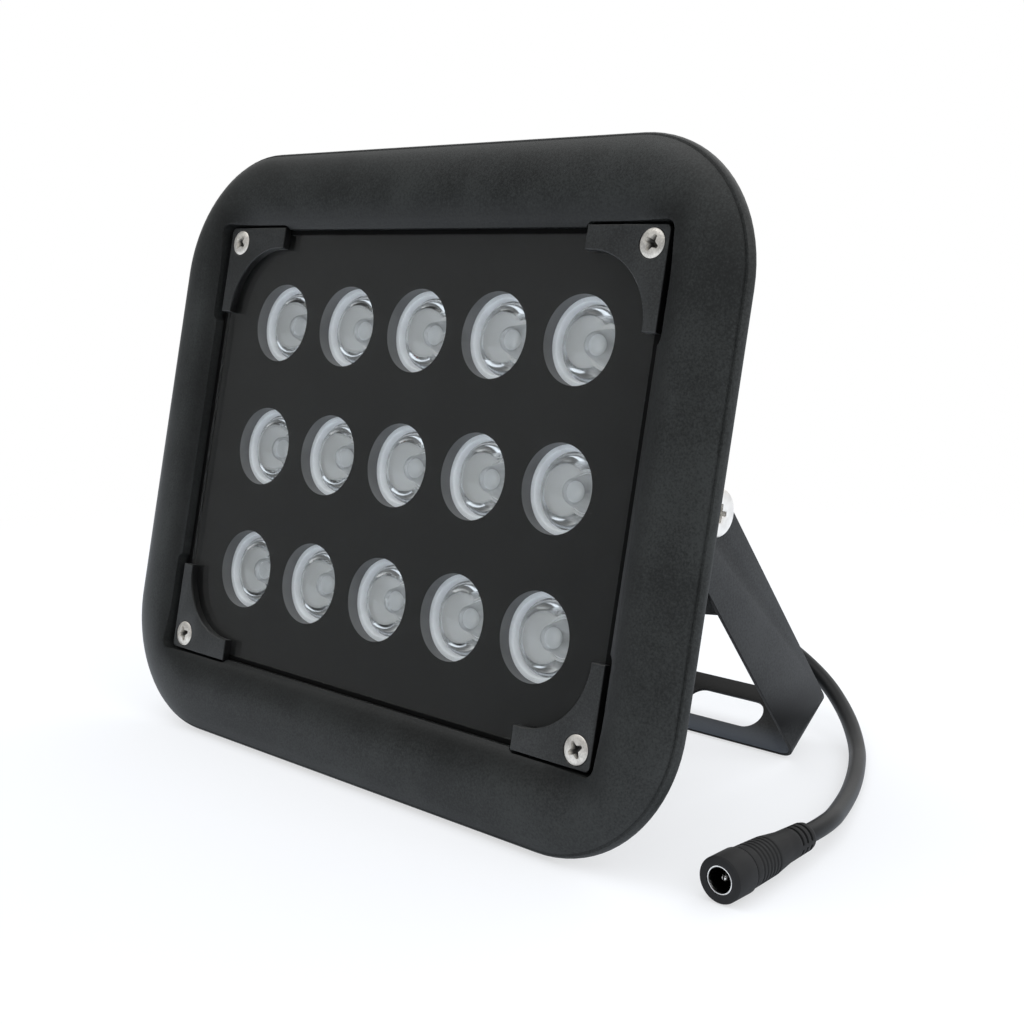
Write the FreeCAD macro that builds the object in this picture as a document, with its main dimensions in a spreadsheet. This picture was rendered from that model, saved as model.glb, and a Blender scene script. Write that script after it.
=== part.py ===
import FreeCAD, Part
import math
import os
import Sketcher
from FreeCAD import Placement, Rotation, Vector

# LED floodlight: a die cast head with fifteen lenses behind a glass pane,
# carried by a bent steel bracket, with a power lead that ends in a socket.
# Frame: X right, Y back, Z up, millimetres, seen from in front of the light.
# The head is drawn upright round its pivot axis and then leaned back; a level
# is a distance in front of that axis.  The bracket is drawn hanging straight
# down from the same axis and then swung back.

os.makedirs("parts", exist_ok=True)
doc = FreeCAD.newDocument("floodlight")

sizes = {
    # stance
    "head_lean": 12.4,
    "bracket_swing": 38.3,
    "pivot_height": 74.0,
    "shift_back": -4.14,
    # bezel of the housing
    "half_width": 101.0,
    "half_height": 82.8,
    "corner_round": 35.0,
    "lip_level": 32.0,
    "crest_level": 38.2,
    "crest_inset": 12.5,
    "bezel_inset": 22.3,
    "bezel_drop": 2.9,
    "groove_level": 34.2,
    # recess and its ledge
    "recess_half_width": 81.0,
    "recess_half_height": 60.7,
    "ledge_level": 26.9,
    "pocket_half_width": 82.1,
    "pocket_half_height": 61.8,
    "pocket_level": 31.0,
    "pocket_long": 28.0,
    "recess_round": 2.5,
    "post_wide": 8.8,
    "clip_bore": 4.6,
    # flange behind the bezel
    "flange_level": 23.9,
    "flange_half_width": 92.0,
    "flange_half_height": 74.0,
    "flange_round": 26.0,
    # tub behind the bezel
    "tub_half_width": 68.5,
    "tub_front_height": 68.0,
    "tub_rear_height": 34.0,
    "rear_level": -6.0,
    "floor_level": -3.0,
    "cavity_half_width": 65.7,
    "cavity_half_height": 53.0,
    "wall_thick": 3.0,
    "board_post_wide": 7.0,
    "standoff_wide": 6.0,
    "standoff_tall": 5.0,
    "board_bore": 3.6,
    "standoff_bore": 3.1,
    "fin_tip_level": -14.5,
    "fin_tip_height": 30.0,
    "fin_knee_height": 3.0,
    "fin_heel_level": -23.6,
    "fin_heel_height": 25.5,
    "fin_root_height": 73.4,
    "fin_thick": 2.4,
    "fin_span": 132.0,
    "fin_count": 15,
    # stack behind the glass
    "glass_front": 34.1,
    "glass_thick": 2.0,
    "pane_half_width": 79.2,
    "pane_half_height": 59.4,
    "pane_corner_cut": 15.3,
    "plate_thick": 3.2,
    "gasket_thick": 2.0,
    "hole_wide": 21.6,
    "hole_pitch_x": 27.5,
    "hole_pitch_z": 34.85,
    "lens_wide": 23.6,
    "lens_tall": 9.4,
    "dome_wide": 17.4,
    "dome_base": -1.5,
    "dome_top": 1.7,
    "lens_flange_thick": 1.8,
    "lens_foot_wide": 9.2,
    "lens_well_wide": 5.8,
    "lens_well_top": 3.6,
    "board_front": 19.4,
    "board_thick": 2.0,
    "board_half_width": 63.0,
    "board_half_height": 49.0,
    "driver_half_width": 38.0,
    "driver_half_height": 13.0,
    "driver_thick": 1.6,
    # clips
    "clip_thick": 2.1,
    "clip_corner_x": 79.7,
    "clip_corner_z": 61.1,
    "clip_leg": 24.2,
    "clip_arc": 18.3,
    "clip_arc_x": 57.4,
    "clip_arc_z": 37.0,
    "clip_corner_round": 1.5,
    "clip_edge_round": 0.3,
    "clip_hole": 4.4,
    "screw_x": 75.0,
    "screw_z": 56.8,
    "screw_head_wide": 7.4,
    # pivot and bracket
    "boss_face": 70.0,
    "boss_wide": 22.0,
    "inner_boss_wide": 13.0,
    "inner_boss_long": 8.0,
    "bolt_bore": 6.6,
    "bolt_depth": 9.0,
    "washer_thick": 1.2,
    "washer_wide": 13.8,
    "washer_bore": 6.6,
    "friction_wide": 19.0,
    "friction_bore": 6.8,
    "arm_inner": 71.5,
    "sheet_thick": 1.0,
    "strap_wide": 19.4,
    "base_reach": 86.63,
    "bend_outer": 5.0,
    "pivot_hole": 6.1,
    "bolt_wide": 6.0,
    "bolt_head_wide": 12.2,
    "bolt_head_tall": 5.0,
    "bolt_cross_wide": 4.6,
    "bolt_cross_arm": 1.2,
    "bolt_cross_deep": 2.2,
    "slot_centre": 43.0,
    "slot_long": 26.0,
    "slot_wide": 9.2,
    "base_hole": 9.0,
    # lead and socket
    "gland_x": 0.0,
    "gland_z": -20.0,
    "gland_seat_wide": 20.0,
    "gland_seat_tall": 3.0,
    "gland_across": 15.0,
    "gland_entry": 12.3,
    "gland_thread": 12.0,
    "gland_long": 11.5,
    "gland_bore": 7.8,
    "nut_foot": 4.3,
    "nut_grip": 9.0,
    "nut_mouth": 5.0,
    "nut_top": 19.0,
    "tail_long": 27.5,
    "cord_wide": 4.5,
    "jack_wide": 10.5,
    "jack_long": 33.6,
    "collar_long": 7.2,
    "relief_long": 9.8,
    "relief_core": 5.0,
    "relief_slot_wide": 0.75,
    "taper_end": 15.8,
    "socket_deep": 11.0,
    "sleeve_wide": 6.5,
    "sleeve_bore": 5.8,
    "pin_wide": 2.0,
    "pin_set_back": 1.6,
    "pin_split": 0.4,
}

sheet = doc.addObject("Spreadsheet::Sheet", "Sizes")
for row, (alias, value) in enumerate(sizes.items(), start=1):
    sheet.set("A%d" % row, alias)
    sheet.set("B%d" % row, str(value))
    sheet.setAlias("B%d" % row, alias)
doc.recompute()


def size(alias):
    return float(sheet.get(alias))


pieces = {}
quarter = math.pi / 2


# Bodies, sketches and features

def new_body(name, keep=True):
    body = doc.addObject("PartDesign::Body", name)
    body.Label = name
    if keep:
        pieces[name] = body
    return body


def origin_plane(body, role):
    return next(item for item in body.Origin.OriginFeatures if item.Role == role)


def new_sketch(body, name, role="XZ_Plane", level=None):
    sketch = body.newObject("Sketcher::SketchObject", name)
    sketch.AttachmentSupport = (origin_plane(body, role), "")
    sketch.MapMode = "FlatFace"
    if level is not None:
        sketch.setExpression("AttachmentOffset.Base.z", level)
    return sketch


def bind(sketch, constraint, expression):
    index = sketch.addConstraint(constraint)
    name = "dimension_%d" % index
    sketch.renameConstraint(index, name)
    sketch.setExpression("Constraints." + name, expression)


def draw_circles(sketch, places, diameter, expression=None):
    first = None
    for x, y in places:
        circle = Part.Circle(Vector(x, y, 0), Vector(0, 0, 1), diameter / 2.0)
        index = sketch.addGeometry(circle, False)
        if first is None:
            first = index
            if expression:
                bind(sketch, Sketcher.Constraint("Diameter", index, diameter), expression)
        else:
            sketch.addConstraint(Sketcher.Constraint("Equal", first, index))


def close_chain(sketch, first, count):
    for step in range(count):
        here = first + step
        there = first + (step + 1) % count
        sketch.addConstraint(Sketcher.Constraint("Coincident", here, 2, there, 1))


def draw_loop(sketch, points):
    first = len(sketch.Geometry)
    for start, end in zip(points, points[1:] + points[:1]):
        line = Part.LineSegment(Vector(start[0], start[1], 0), Vector(end[0], end[1], 0))
        sketch.addGeometry(line, False)
    close_chain(sketch, first, len(points))


def arc_between(middle, radius, start, end):
    circle = Part.Circle(Vector(middle[0], middle[1], 0), Vector(0, 0, 1), radius)
    return Part.ArcOfCircle(circle, start, end)


def draw_rounded(sketch, half_x, half_y, radius, centre=(0.0, 0.0)):
    corners = [(1, 1), (-1, 1), (-1, -1), (1, -1)]
    arcs = []
    for turn, (side_x, side_y) in enumerate(corners):
        middle = (centre[0] + side_x * (half_x - radius), centre[1] + side_y * (half_y - radius))
        arcs.append(arc_between(middle, radius, turn * quarter, (turn + 1) * quarter))
    first = len(sketch.Geometry)
    for arc, following in zip(arcs, arcs[1:] + arcs[:1]):
        sketch.addGeometry(arc, False)
        sketch.addGeometry(Part.LineSegment(arc.EndPoint, following.StartPoint), False)
    close_chain(sketch, first, 8)


def draw_slot(sketch, centre, long, wide):
    reach = (long - wide) / 2.0
    radius = wide / 2.0
    left = arc_between((centre[0] - reach, centre[1]), radius, quarter, 3 * quarter)
    right = arc_between((centre[0] + reach, centre[1]), radius, 3 * quarter, 5 * quarter)
    first = len(sketch.Geometry)
    sketch.addGeometry(left, False)
    sketch.addGeometry(Part.LineSegment(left.EndPoint, right.StartPoint), False)
    sketch.addGeometry(right, False)
    sketch.addGeometry(Part.LineSegment(right.EndPoint, left.StartPoint), False)
    close_chain(sketch, first, 4)


def extrude(body, kind, name, sketch, length, reverse=False, both=False):
    feature = body.newObject("PartDesign::" + kind, name)
    feature.Profile = sketch
    feature.setExpression("Length", length)
    feature.Reversed = reverse
    if both:
        feature.SideType = "Symmetric"
    doc.recompute()
    return feature


def pad(body, name, sketch, length, **options):
    return extrude(body, "Pad", name, sketch, length, **options)


def pocket(body, name, sketch, length, **options):
    before = body.Shape.Volume
    feature = extrude(body, "Pocket", name, sketch, length, **options)
    if body.Shape.Volume > before - 1e-3:
        raise RuntimeError("nothing cut by " + name)
    return feature


def mirror_sideways(body, name, features):
    feature = body.newObject("PartDesign::Mirrored", name)
    feature.Originals = features
    feature.MirrorPlane = (origin_plane(body, "YZ_Plane"), [""])
    body.Tip = feature
    doc.recompute()
    return feature


def revolve(body, name, points):
    sketch = new_sketch(body, name + "_profile")
    draw_loop(sketch, points)
    feature = body.newObject("PartDesign::Revolution", name)
    feature.Profile = sketch
    feature.ReferenceAxis = (sketch, ["V_Axis"])
    feature.Angle = 360.0
    doc.recompute()
    return feature


def round_edges(body, name, radius, wanted, kind="Fillet"):
    base = body.Tip
    names = []
    for number, edge in enumerate(base.Shape.Edges, start=1):
        if wanted(edge):
            names.append("Edge%d" % number)
    feature = body.newObject("PartDesign::" + kind, name)
    feature.Base = (base, names)
    if kind == "Fillet":
        feature.Radius = radius
    else:
        feature.Size = radius
    doc.recompute()
    return feature


def copies(name, master, placements):
    feature = doc.addObject("Part::Feature", name)
    feature.Label = name
    shapes = []
    for placement in placements:
        shape = master.Shape.copy()
        shape.Placement = placement.multiply(shape.Placement)
        shapes.append(shape)
    feature.Shape = Part.makeCompound(shapes)
    pieces[name] = feature
    return feature


def tube(name, points, diameter, keep_radii=False):
    spine, radii = smooth_path(points)
    across = points[1].sub(points[0])
    ring = Part.Wire(Part.Circle(points[0], across, diameter / 2.0).toShape())
    shape = Part.Wire(spine).makePipeShell([ring], True, True)
    expected = math.pi * diameter * diameter / 4.0 * sum(edge.Length for edge in spine)
    if abs(shape.Volume - expected) > 0.01 * expected:
        raise RuntimeError("tube volume is off in " + name)
    feature = doc.addObject("Part::Feature", name)
    feature.Label = name
    feature.Shape = shape
    pieces[name] = feature
    if keep_radii:
        print(name, "length", round(sum(edge.Length for edge in spine), 1),
              "radii", [round(radius, 1) for radius in radii])
    return feature


def smooth_path(points):
    edges = []
    radii = []
    start = points[0]
    for before, corner, after in zip(points, points[1:], points[2:]):
        back = before.sub(corner)
        ahead = after.sub(corner)
        setback = 0.45 * min(back.Length, ahead.Length)
        turn = math.pi - back.getAngle(ahead)
        radii.append(setback / math.tan(turn / 2.0))
        inward = back.normalize().multiply(setback).add(corner)
        outward = ahead.normalize().multiply(setback).add(corner)
        middle_way = inward.add(outward).multiply(0.5).sub(corner)
        radius = radii[-1]
        centre_gap = math.hypot(radius, setback)
        middle = corner.add(middle_way.normalize().multiply(centre_gap - radius))
        edges.append(Part.LineSegment(start, inward).toShape())
        edges.append(Part.Arc(inward, middle, outward).toShape())
        start = outward
    edges.append(Part.LineSegment(start, points[-1]).toShape())
    return edges, radii


# Frames of the two moving parts

pivot = Vector(0, size("shift_back"), size("pivot_height"))
head_frame = Placement(pivot, Rotation(Vector(1, 0, 0), -size("head_lean")))
bracket_frame = Placement(pivot, Rotation(Vector(1, 0, 0), size("bracket_swing")))
face_front = Rotation(Vector(1, 0, 0), 90)
face_right = Rotation(Vector(0, 1, 0), 90)
face_left = Rotation(Vector(0, 1, 0), -90)


def head_point(x, level, z):
    return head_frame.multVec(Vector(x, -level, z))


def facing_front(x, level, z):
    return head_frame.multiply(Placement(Vector(x, -level, z), face_front))


def sizes_of(*names):
    return [size(name) for name in names]


lens_places = []
for row in (1, 0, -1):
    for column in range(-2, 3):
        lens_places.append((column * size("hole_pitch_x"), row * size("hole_pitch_z")))
screw_places = []
for side_x in (-1, 1):
    for side_z in (-1, 1):
        screw_places.append((side_x * size("screw_x"), side_z * size("screw_z")))
post_places = [(x, z) for x in (-41.25, -13.75, 13.75, 41.25) for z in (-17.4, 17.4)]
standoff_places = [(x, z) for x in (-31.0, 31.0) for z in (-8.5, 8.5)]


# Housing casting: pillow bezel, recess with corner pockets, tub, fins, posts and bosses

def bezel_section(sketch):
    half_height, inset, crest = sizes_of("half_height", "crest_inset", "crest_level")
    lip, groove = sizes_of("lip_level", "groove_level")
    reach, drop = sizes_of("bezel_inset", "bezel_drop")
    base = lip + 0.5
    rise = crest - base

    def place(depth, level):
        return Vector(-level, half_height - depth, 0)

    def on_pillow(level):
        return inset * (1.0 - math.sqrt(1.0 - ((level - base) / rise) ** 2))

    ellipse = Part.Ellipse(place(0.0, base), place(inset, crest), place(inset, base))
    lower = (on_pillow(groove), groove)
    upper = (on_pillow(groove + 0.7), groove + 0.7)
    notch_low = (lower[0] + 0.7, groove + 0.1)
    notch_high = (upper[0] + 0.55, groove + 0.6)
    span = reach - inset
    roll = (span * span + drop * drop) / (2.0 * drop)
    half_turn = math.asin(span / roll)
    halfway = (inset + roll * math.sin(half_turn / 2.0), crest - roll * (1.0 - math.cos(half_turn / 2.0)))

    def pillow_arc(start, end):
        one = ellipse.parameter(place(*start))
        two = ellipse.parameter(place(*end))
        if one > two:
            one, two = two, one
        return Part.ArcOfEllipse(ellipse, one, two)

    start = (0.0, base)
    inner = (reach, crest - drop)
    outline = [
        Part.LineSegment(place(0.0, lip), place(*start)),
        pillow_arc(start, lower),
        Part.LineSegment(place(*lower), place(*notch_low)),
        Part.LineSegment(place(*notch_low), place(*notch_high)),
        Part.LineSegment(place(*notch_high), place(*upper)),
        pillow_arc(upper, (inset, crest)),
        Part.Arc(place(inset, crest), place(*halfway), place(*inner)),
        Part.LineSegment(place(*inner), place(reach, lip)),
        Part.LineSegment(place(reach, lip), place(0.0, lip)),
    ]
    for edge in outline:
        sketch.addGeometry(edge, False)


def bezel_path(sketch):
    half_width, half_height, radius = sizes_of("half_width", "half_height", "corner_round")
    centres = [(-1, 1), (-1, -1), (1, -1), (1, 1)]
    arcs = []
    for turn, (side_x, side_z) in enumerate(centres, start=1):
        middle = (side_x * (half_width - radius), side_z * (half_height - radius))
        arcs.append(arc_between(middle, radius, turn * quarter, (turn + 1) * quarter))
    start = Vector(0, half_height, 0)
    here = start
    for arc in arcs:
        sketch.addGeometry(Part.LineSegment(here, arc.StartPoint), False)
        sketch.addGeometry(arc, False)
        here = arc.EndPoint
    sketch.addGeometry(Part.LineSegment(here, start), False)
    close_chain(sketch, 0, 9)


def add_tub(body):
    lip, rear = sizes_of("lip_level", "rear_level")
    front_height, rear_height = sizes_of("tub_front_height", "tub_rear_height")
    side = new_sketch(body, "tub_side", "YZ_Plane")
    draw_loop(side, [(-lip, front_height), (-rear, rear_height),
                     (-rear, -rear_height), (-lip, -front_height)])
    pad(body, "tub", side, "2 * Sizes.tub_half_width", both=True)

    root, tip, tip_level = sizes_of("fin_root_height", "fin_tip_height", "fin_tip_level")
    knee, heel, heel_level = sizes_of("fin_knee_height", "fin_heel_height", "fin_heel_level")
    fin = new_sketch(body, "fin_side", "YZ_Plane", "-(Sizes.fin_span + Sizes.fin_thick) / 2")
    draw_loop(fin, [(-lip, root), (-tip_level, tip), (-tip_level, knee), (-heel_level, -heel),
                    (-tip_level, -heel), (-lip, -root)])
    first_fin = pad(body, "fin", fin, "Sizes.fin_thick")
    fins = body.newObject("PartDesign::LinearPattern", "fins")
    fins.Originals = [first_fin]
    fins.Direction = (fin, ["N_Axis"])
    fins.setExpression("Length", "Sizes.fin_span")
    fins.setExpression("Occurrences", "Sizes.fin_count")
    body.Tip = fins
    doc.recompute()


def add_bezel(body):
    flange = new_sketch(body, "flange_outline", level="Sizes.flange_level")
    draw_rounded(flange, *sizes_of("flange_half_width", "flange_half_height", "flange_round"))
    pad(body, "flange", flange, "Sizes.lip_level - Sizes.flange_level")

    path = new_sketch(body, "bezel_path", level="Sizes.lip_level")
    bezel_path(path)
    section = new_sketch(body, "bezel_section", "YZ_Plane")
    bezel_section(section)
    doc.recompute()
    bezel = body.newObject("PartDesign::AdditivePipe", "bezel")
    bezel.Profile = section
    bezel.Spine = (path, ["Edge%d" % number for number in range(1, len(path.Shape.Edges) + 1)])
    bezel.Mode = "Standard"
    bezel.Transition = "Transformed"
    doc.recompute()


def cut_cavity(body):
    lip, rear, floor, ledge = sizes_of("lip_level", "rear_level", "floor_level", "ledge_level")
    front_height, rear_height, height = sizes_of("tub_front_height", "tub_rear_height", "cavity_half_height")
    slope = (front_height - rear_height) / (lip - rear)
    inset = size("wall_thick") * math.hypot(1.0, slope)
    floor_height = front_height - slope * (lip - floor) - inset
    bend = lip - (front_height - inset - height) / slope
    hollow = new_sketch(body, "cavity_side", "YZ_Plane")
    draw_loop(hollow, [(-ledge, height), (-bend, height), (-floor, floor_height),
                       (-floor, -floor_height), (-bend, -height), (-ledge, -height)])
    pocket(body, "cavity", hollow, "2 * Sizes.cavity_half_width", both=True)


def cut_recess(body):
    rounding = size("recess_round")
    recess = new_sketch(body, "recess_outline", level="Sizes.ledge_level")
    draw_rounded(recess, size("recess_half_width"), size("recess_half_height"), rounding)
    pocket(body, "recess", recess, "Sizes.crest_level - Sizes.ledge_level + 1", reverse=True)

    corners = new_sketch(body, "pocket_outline", level="Sizes.pocket_level")
    wide, tall, long = sizes_of("pocket_half_width", "pocket_half_height", "pocket_long")
    half = long / 2.0
    for side_x in (-1, 1):
        for side_z in (-1, 1):
            draw_rounded(corners, half, half, rounding, (side_x * (wide - half), side_z * (tall - half)))
    pocket(body, "clip_pockets", corners, "Sizes.crest_level - Sizes.pocket_level + 1", reverse=True)


def add_posts(body):
    posts = new_sketch(body, "post_outline", level="Sizes.ledge_level")
    draw_circles(posts, screw_places, size("post_wide"), "Sizes.post_wide")
    pad(body, "posts", posts, "Sizes.glass_front - Sizes.ledge_level")

    board_posts = new_sketch(body, "board_post_outline", level="Sizes.floor_level")
    draw_circles(board_posts, post_places, size("board_post_wide"), "Sizes.board_post_wide")
    pad(body, "board_posts", board_posts, "Sizes.board_front - Sizes.board_thick - Sizes.floor_level")

    standoffs = new_sketch(body, "standoff_outline", level="Sizes.floor_level")
    draw_circles(standoffs, standoff_places, size("standoff_wide"), "Sizes.standoff_wide")
    pad(body, "standoffs", standoffs, "Sizes.standoff_tall")


def add_pivot_bosses(body):
    boss = new_sketch(body, "boss_outline", "YZ_Plane", "Sizes.cavity_half_width")
    draw_circles(boss, [(0.0, 0.0)], size("boss_wide"), "Sizes.boss_wide")
    outer_boss = pad(body, "outer_boss", boss, "Sizes.boss_face - Sizes.cavity_half_width")
    inner = new_sketch(body, "inner_boss_outline", "YZ_Plane",
                       "Sizes.cavity_half_width - Sizes.inner_boss_long")
    draw_circles(inner, [(0.0, 0.0)], size("inner_boss_wide"), "Sizes.inner_boss_wide")
    inner_boss = pad(body, "inner_boss", inner, "Sizes.inner_boss_long + 0.5")
    bore = new_sketch(body, "bolt_bore_outline", "YZ_Plane", "Sizes.boss_face")
    draw_circles(bore, [(0.0, 0.0)], size("bolt_bore"), "Sizes.bolt_bore")
    bolt_bore = pocket(body, "bolt_bore", bore, "Sizes.bolt_depth + 1")
    mirror_sideways(body, "far_boss", [outer_boss, inner_boss, bolt_bore])


def add_gland_seat(body):
    place = (size("gland_x"), size("gland_z"))
    top = "Sizes.rear_level - Sizes.gland_seat_tall"
    clearing = new_sketch(body, "gland_clearing_outline", level="Sizes.rear_level")
    draw_rounded(clearing, 14.5, 16.0, 4.0, (place[0], place[1] - 2.0))
    pocket(body, "gland_clearing", clearing, "Sizes.rear_level - Sizes.fin_heel_level + 4")
    seat = new_sketch(body, "gland_seat_outline", level=top)
    draw_circles(seat, [place], size("gland_seat_wide"), "Sizes.gland_seat_wide")
    pad(body, "gland_seat", seat, "Sizes.gland_seat_tall + 0.5")
    entry = new_sketch(body, "gland_entry_outline", level=top)
    draw_circles(entry, [place], size("gland_entry"), "Sizes.gland_entry")
    pocket(body, "gland_entry", entry, "Sizes.gland_seat_tall + 5", reverse=True)


def drill_screw_bores(body):
    clip_bores = new_sketch(body, "clip_bore_outline", level="Sizes.glass_front")
    draw_circles(clip_bores, screw_places, size("clip_bore"), "Sizes.clip_bore")
    pocket(body, "clip_bores", clip_bores, "Sizes.glass_front - Sizes.ledge_level + 1.5")
    board_bores = new_sketch(body, "board_bore_outline", level="Sizes.board_front - Sizes.board_thick")
    draw_circles(board_bores, post_places, size("board_bore"), "Sizes.board_bore")
    pocket(body, "board_bores", board_bores, "6.0")
    standoff_bores = new_sketch(body, "standoff_bore_outline", level="Sizes.floor_level + Sizes.standoff_tall")
    draw_circles(standoff_bores, standoff_places, size("standoff_bore"), "Sizes.standoff_bore")
    pocket(body, "standoff_bores", standoff_bores, "Sizes.standoff_tall - 0.6")


def build_housing():
    body = new_body("housing")
    add_tub(body)
    add_bezel(body)
    cut_cavity(body)
    cut_recess(body)
    add_posts(body)
    add_pivot_bosses(body)
    add_gland_seat(body)
    drill_screw_bores(body)
    body.Placement = head_frame


build_housing()


# Pane, lens plate and gasket share one outline with cut corners

def cut_corner_outline(half_x, half_z, cut):
    return [(half_x - cut, half_z), (-half_x + cut, half_z), (-half_x, half_z - cut),
            (-half_x, -half_z + cut), (-half_x + cut, -half_z), (half_x - cut, -half_z),
            (half_x, -half_z + cut), (half_x, half_z - cut)]


def build_stack():
    half_x, half_z, cut = sizes_of("pane_half_width", "pane_half_height", "pane_corner_cut")

    glass = new_body("front_glass")
    outline = new_sketch(glass, "glass_outline", level="Sizes.glass_front - Sizes.glass_thick")
    draw_loop(outline, cut_corner_outline(half_x, half_z, cut))
    pad(glass, "glass_pane", outline, "Sizes.glass_thick")
    glass.Placement = head_frame

    plate = new_body("lens_plate")
    back = "Sizes.glass_front - Sizes.glass_thick - Sizes.plate_thick"
    outline = new_sketch(plate, "plate_outline", level=back)
    draw_loop(outline, cut_corner_outline(half_x, half_z, cut))
    pad(plate, "plate_sheet", outline, "Sizes.plate_thick")
    holes = new_sketch(plate, "plate_holes_outline", level="Sizes.glass_front - Sizes.glass_thick")
    draw_circles(holes, lens_places, size("hole_wide"), "Sizes.hole_wide")
    pocket(plate, "plate_holes", holes, "Sizes.plate_thick")
    plate.Placement = head_frame

    gasket = new_body("gasket")
    outline = new_sketch(gasket, "gasket_outline", level="Sizes.ledge_level")
    draw_loop(outline, cut_corner_outline(half_x, half_z, cut))
    draw_loop(outline, cut_corner_outline(half_x - 8.0, half_z - 5.0, cut - 3.0))
    pad(gasket, "gasket_ring", outline, back + " - Sizes.ledge_level")
    gasket.Placement = head_frame


build_stack()


# Corner clips and the screws of the head

def build_clip(name, side_x, side_z):
    body = new_body(name)
    corner_x, corner_z, leg, radius = sizes_of("clip_corner_x", "clip_corner_z", "clip_leg", "clip_arc")
    middle = sizes_of("clip_arc_x", "clip_arc_z")
    end_x = corner_x - leg
    end_z = corner_z - leg
    soft = size("clip_corner_round")

    def at(x, z):
        return Vector(side_x * x, side_z * z, 0)

    bend = soft * (1.0 - math.sqrt(0.5))
    arc_mid = radius * math.sqrt(0.5)
    edges = [
        Part.LineSegment(at(end_x, corner_z), at(corner_x - soft, corner_z)),
        Part.Arc(at(corner_x - soft, corner_z), at(corner_x - bend, corner_z - bend),
                 at(corner_x, corner_z - soft)),
        Part.LineSegment(at(corner_x, corner_z - soft), at(corner_x, end_z)),
        Part.LineSegment(at(corner_x, end_z), at(middle[0] + radius, end_z)),
        Part.LineSegment(at(middle[0] + radius, end_z), at(middle[0] + radius, middle[1])),
        Part.Arc(at(middle[0] + radius, middle[1]), at(middle[0] + arc_mid, middle[1] + arc_mid),
                 at(middle[0], middle[1] + radius)),
        Part.LineSegment(at(middle[0], middle[1] + radius), at(end_x, middle[1] + radius)),
        Part.LineSegment(at(end_x, middle[1] + radius), at(end_x, corner_z)),
    ]
    outline = new_sketch(body, name + "_outline", level="Sizes.glass_front")
    for edge in edges:
        outline.addGeometry(edge, False)
    pad(body, name + "_plate", outline, "Sizes.clip_thick")
    bore = new_sketch(body, name + "_bore", level="Sizes.glass_front + Sizes.clip_thick")
    draw_circles(bore, [(side_x * size("screw_x"), side_z * size("screw_z"))], size("clip_hole"))
    pocket(body, name + "_hole", bore, "Sizes.clip_thick")
    front = -size("glass_front") - size("clip_thick")

    def is_hole_rim(edge):
        return edge.isClosed() and abs(edge.Curve.Radius - size("clip_hole") / 2.0) < 0.01 \
            and abs(edge.CenterOfMass.y - front) < 0.01

    def is_front_edge(edge):
        return abs(edge.CenterOfMass.y - front) < 0.01 and not edge.isClosed()

    sink = (size("screw_head_wide") + 0.1 - size("clip_hole")) / 2.0
    round_edges(body, name + "_sink", sink, is_hole_rim, kind="Chamfer")
    round_edges(body, name + "_soft", size("clip_edge_round"), is_front_edge)
    body.Placement = head_frame


for name, side_x, side_z in (("clip_top_left", -1, 1), ("clip_top_right", 1, 1),
                             ("clip_bottom_left", -1, -1), ("clip_bottom_right", 1, -1)):
    build_clip(name, side_x, side_z)


def cross_outline(sketch, long, wide):
    far = long / 2.0
    near = wide / 2.0
    draw_loop(sketch, [(near, near), (near, far), (-near, far), (-near, near), (-far, near),
                       (-far, -near), (-near, -near), (-near, -far), (near, -far),
                       (near, -near), (far, -near), (far, near)])


def screw_master(name, profile, cross, deep):
    body = new_body(name, keep=False)
    revolve(body, name + "_turned", profile)
    level = max(z for _, z in profile)
    drive = new_sketch(body, name + "_drive", "XY_Plane", str(level))
    cross_outline(drive, cross, cross * 0.24)
    pocket(body, name + "_cross", drive, str(deep))
    return body


def build_screws():
    clip_profile = [(0.0, 0.35), (2.4, 0.25), (3.7, 0.0), (2.0, -1.7), (2.0, -10.8), (0.0, -10.8)]
    clip_screw = screw_master("clip_screw", clip_profile, 4.0, 1.5)
    front = size("glass_front") + size("clip_thick")
    copies("clip_screws", clip_screw, [facing_front(x, front, z) for x, z in screw_places])

    board_profile = [(0.0, 2.0), (1.6, 1.9), (2.5, 1.3), (2.8, 0.0), (1.5, 0.0), (1.5, -8.0), (0.0, -8.0)]
    board_screw = screw_master("board_screw", board_profile, 2.8, 1.2)
    level = size("board_front")
    copies("board_screws", board_screw, [facing_front(x, level, z) for x, z in post_places])

    driver_profile = [(0.0, 1.6), (1.3, 1.5), (2.1, 1.0), (2.3, 0.0), (1.25, 0.0), (1.25, -6.0), (0.0, -6.0)]
    driver_screw = screw_master("driver_screw", driver_profile, 2.2, 1.0)
    copies("driver_screws", driver_screw, [facing_front(x, 3.6, z) for x, z in standoff_places])


build_screws()


# Lenses and light sources

def build_lens(name, x, z):
    body = new_body(name)
    tall, base, top = sizes_of("lens_tall", "dome_base", "dome_top")
    flange, dome = size("lens_wide") / 2.0, size("dome_wide") / 2.0
    foot, well = size("lens_foot_wide") / 2.0, size("lens_well_wide") / 2.0
    thick, well_top = sizes_of("lens_flange_thick", "lens_well_top")
    rise = top - base
    ball = (dome * dome + rise * rise) / (2.0 * rise)
    profile = [(0.0, top)]
    for step in range(1, 7):
        radius = dome * step / 6.0
        profile.append((radius, math.sqrt(ball * ball - radius * radius) - ball + top))
    groove = base - 0.2
    profile += [(dome + 0.1, groove), (dome + 0.4, groove), (dome + 0.8, 0.0), (flange, 0.0),
                (flange, -thick), (dome + 0.9, -thick), (foot, -tall), (well, -tall),
                (well - 0.3, -well_top - 1.0), (well - 1.0, -well_top - 0.3), (0.0, -well_top)]
    revolve(body, name + "_turned", profile)
    body.Placement = facing_front(x, size("board_front") + tall, z)


for number, (x, z) in enumerate(lens_places, start=1):
    build_lens("lens_%02d" % number, x, z)


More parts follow.
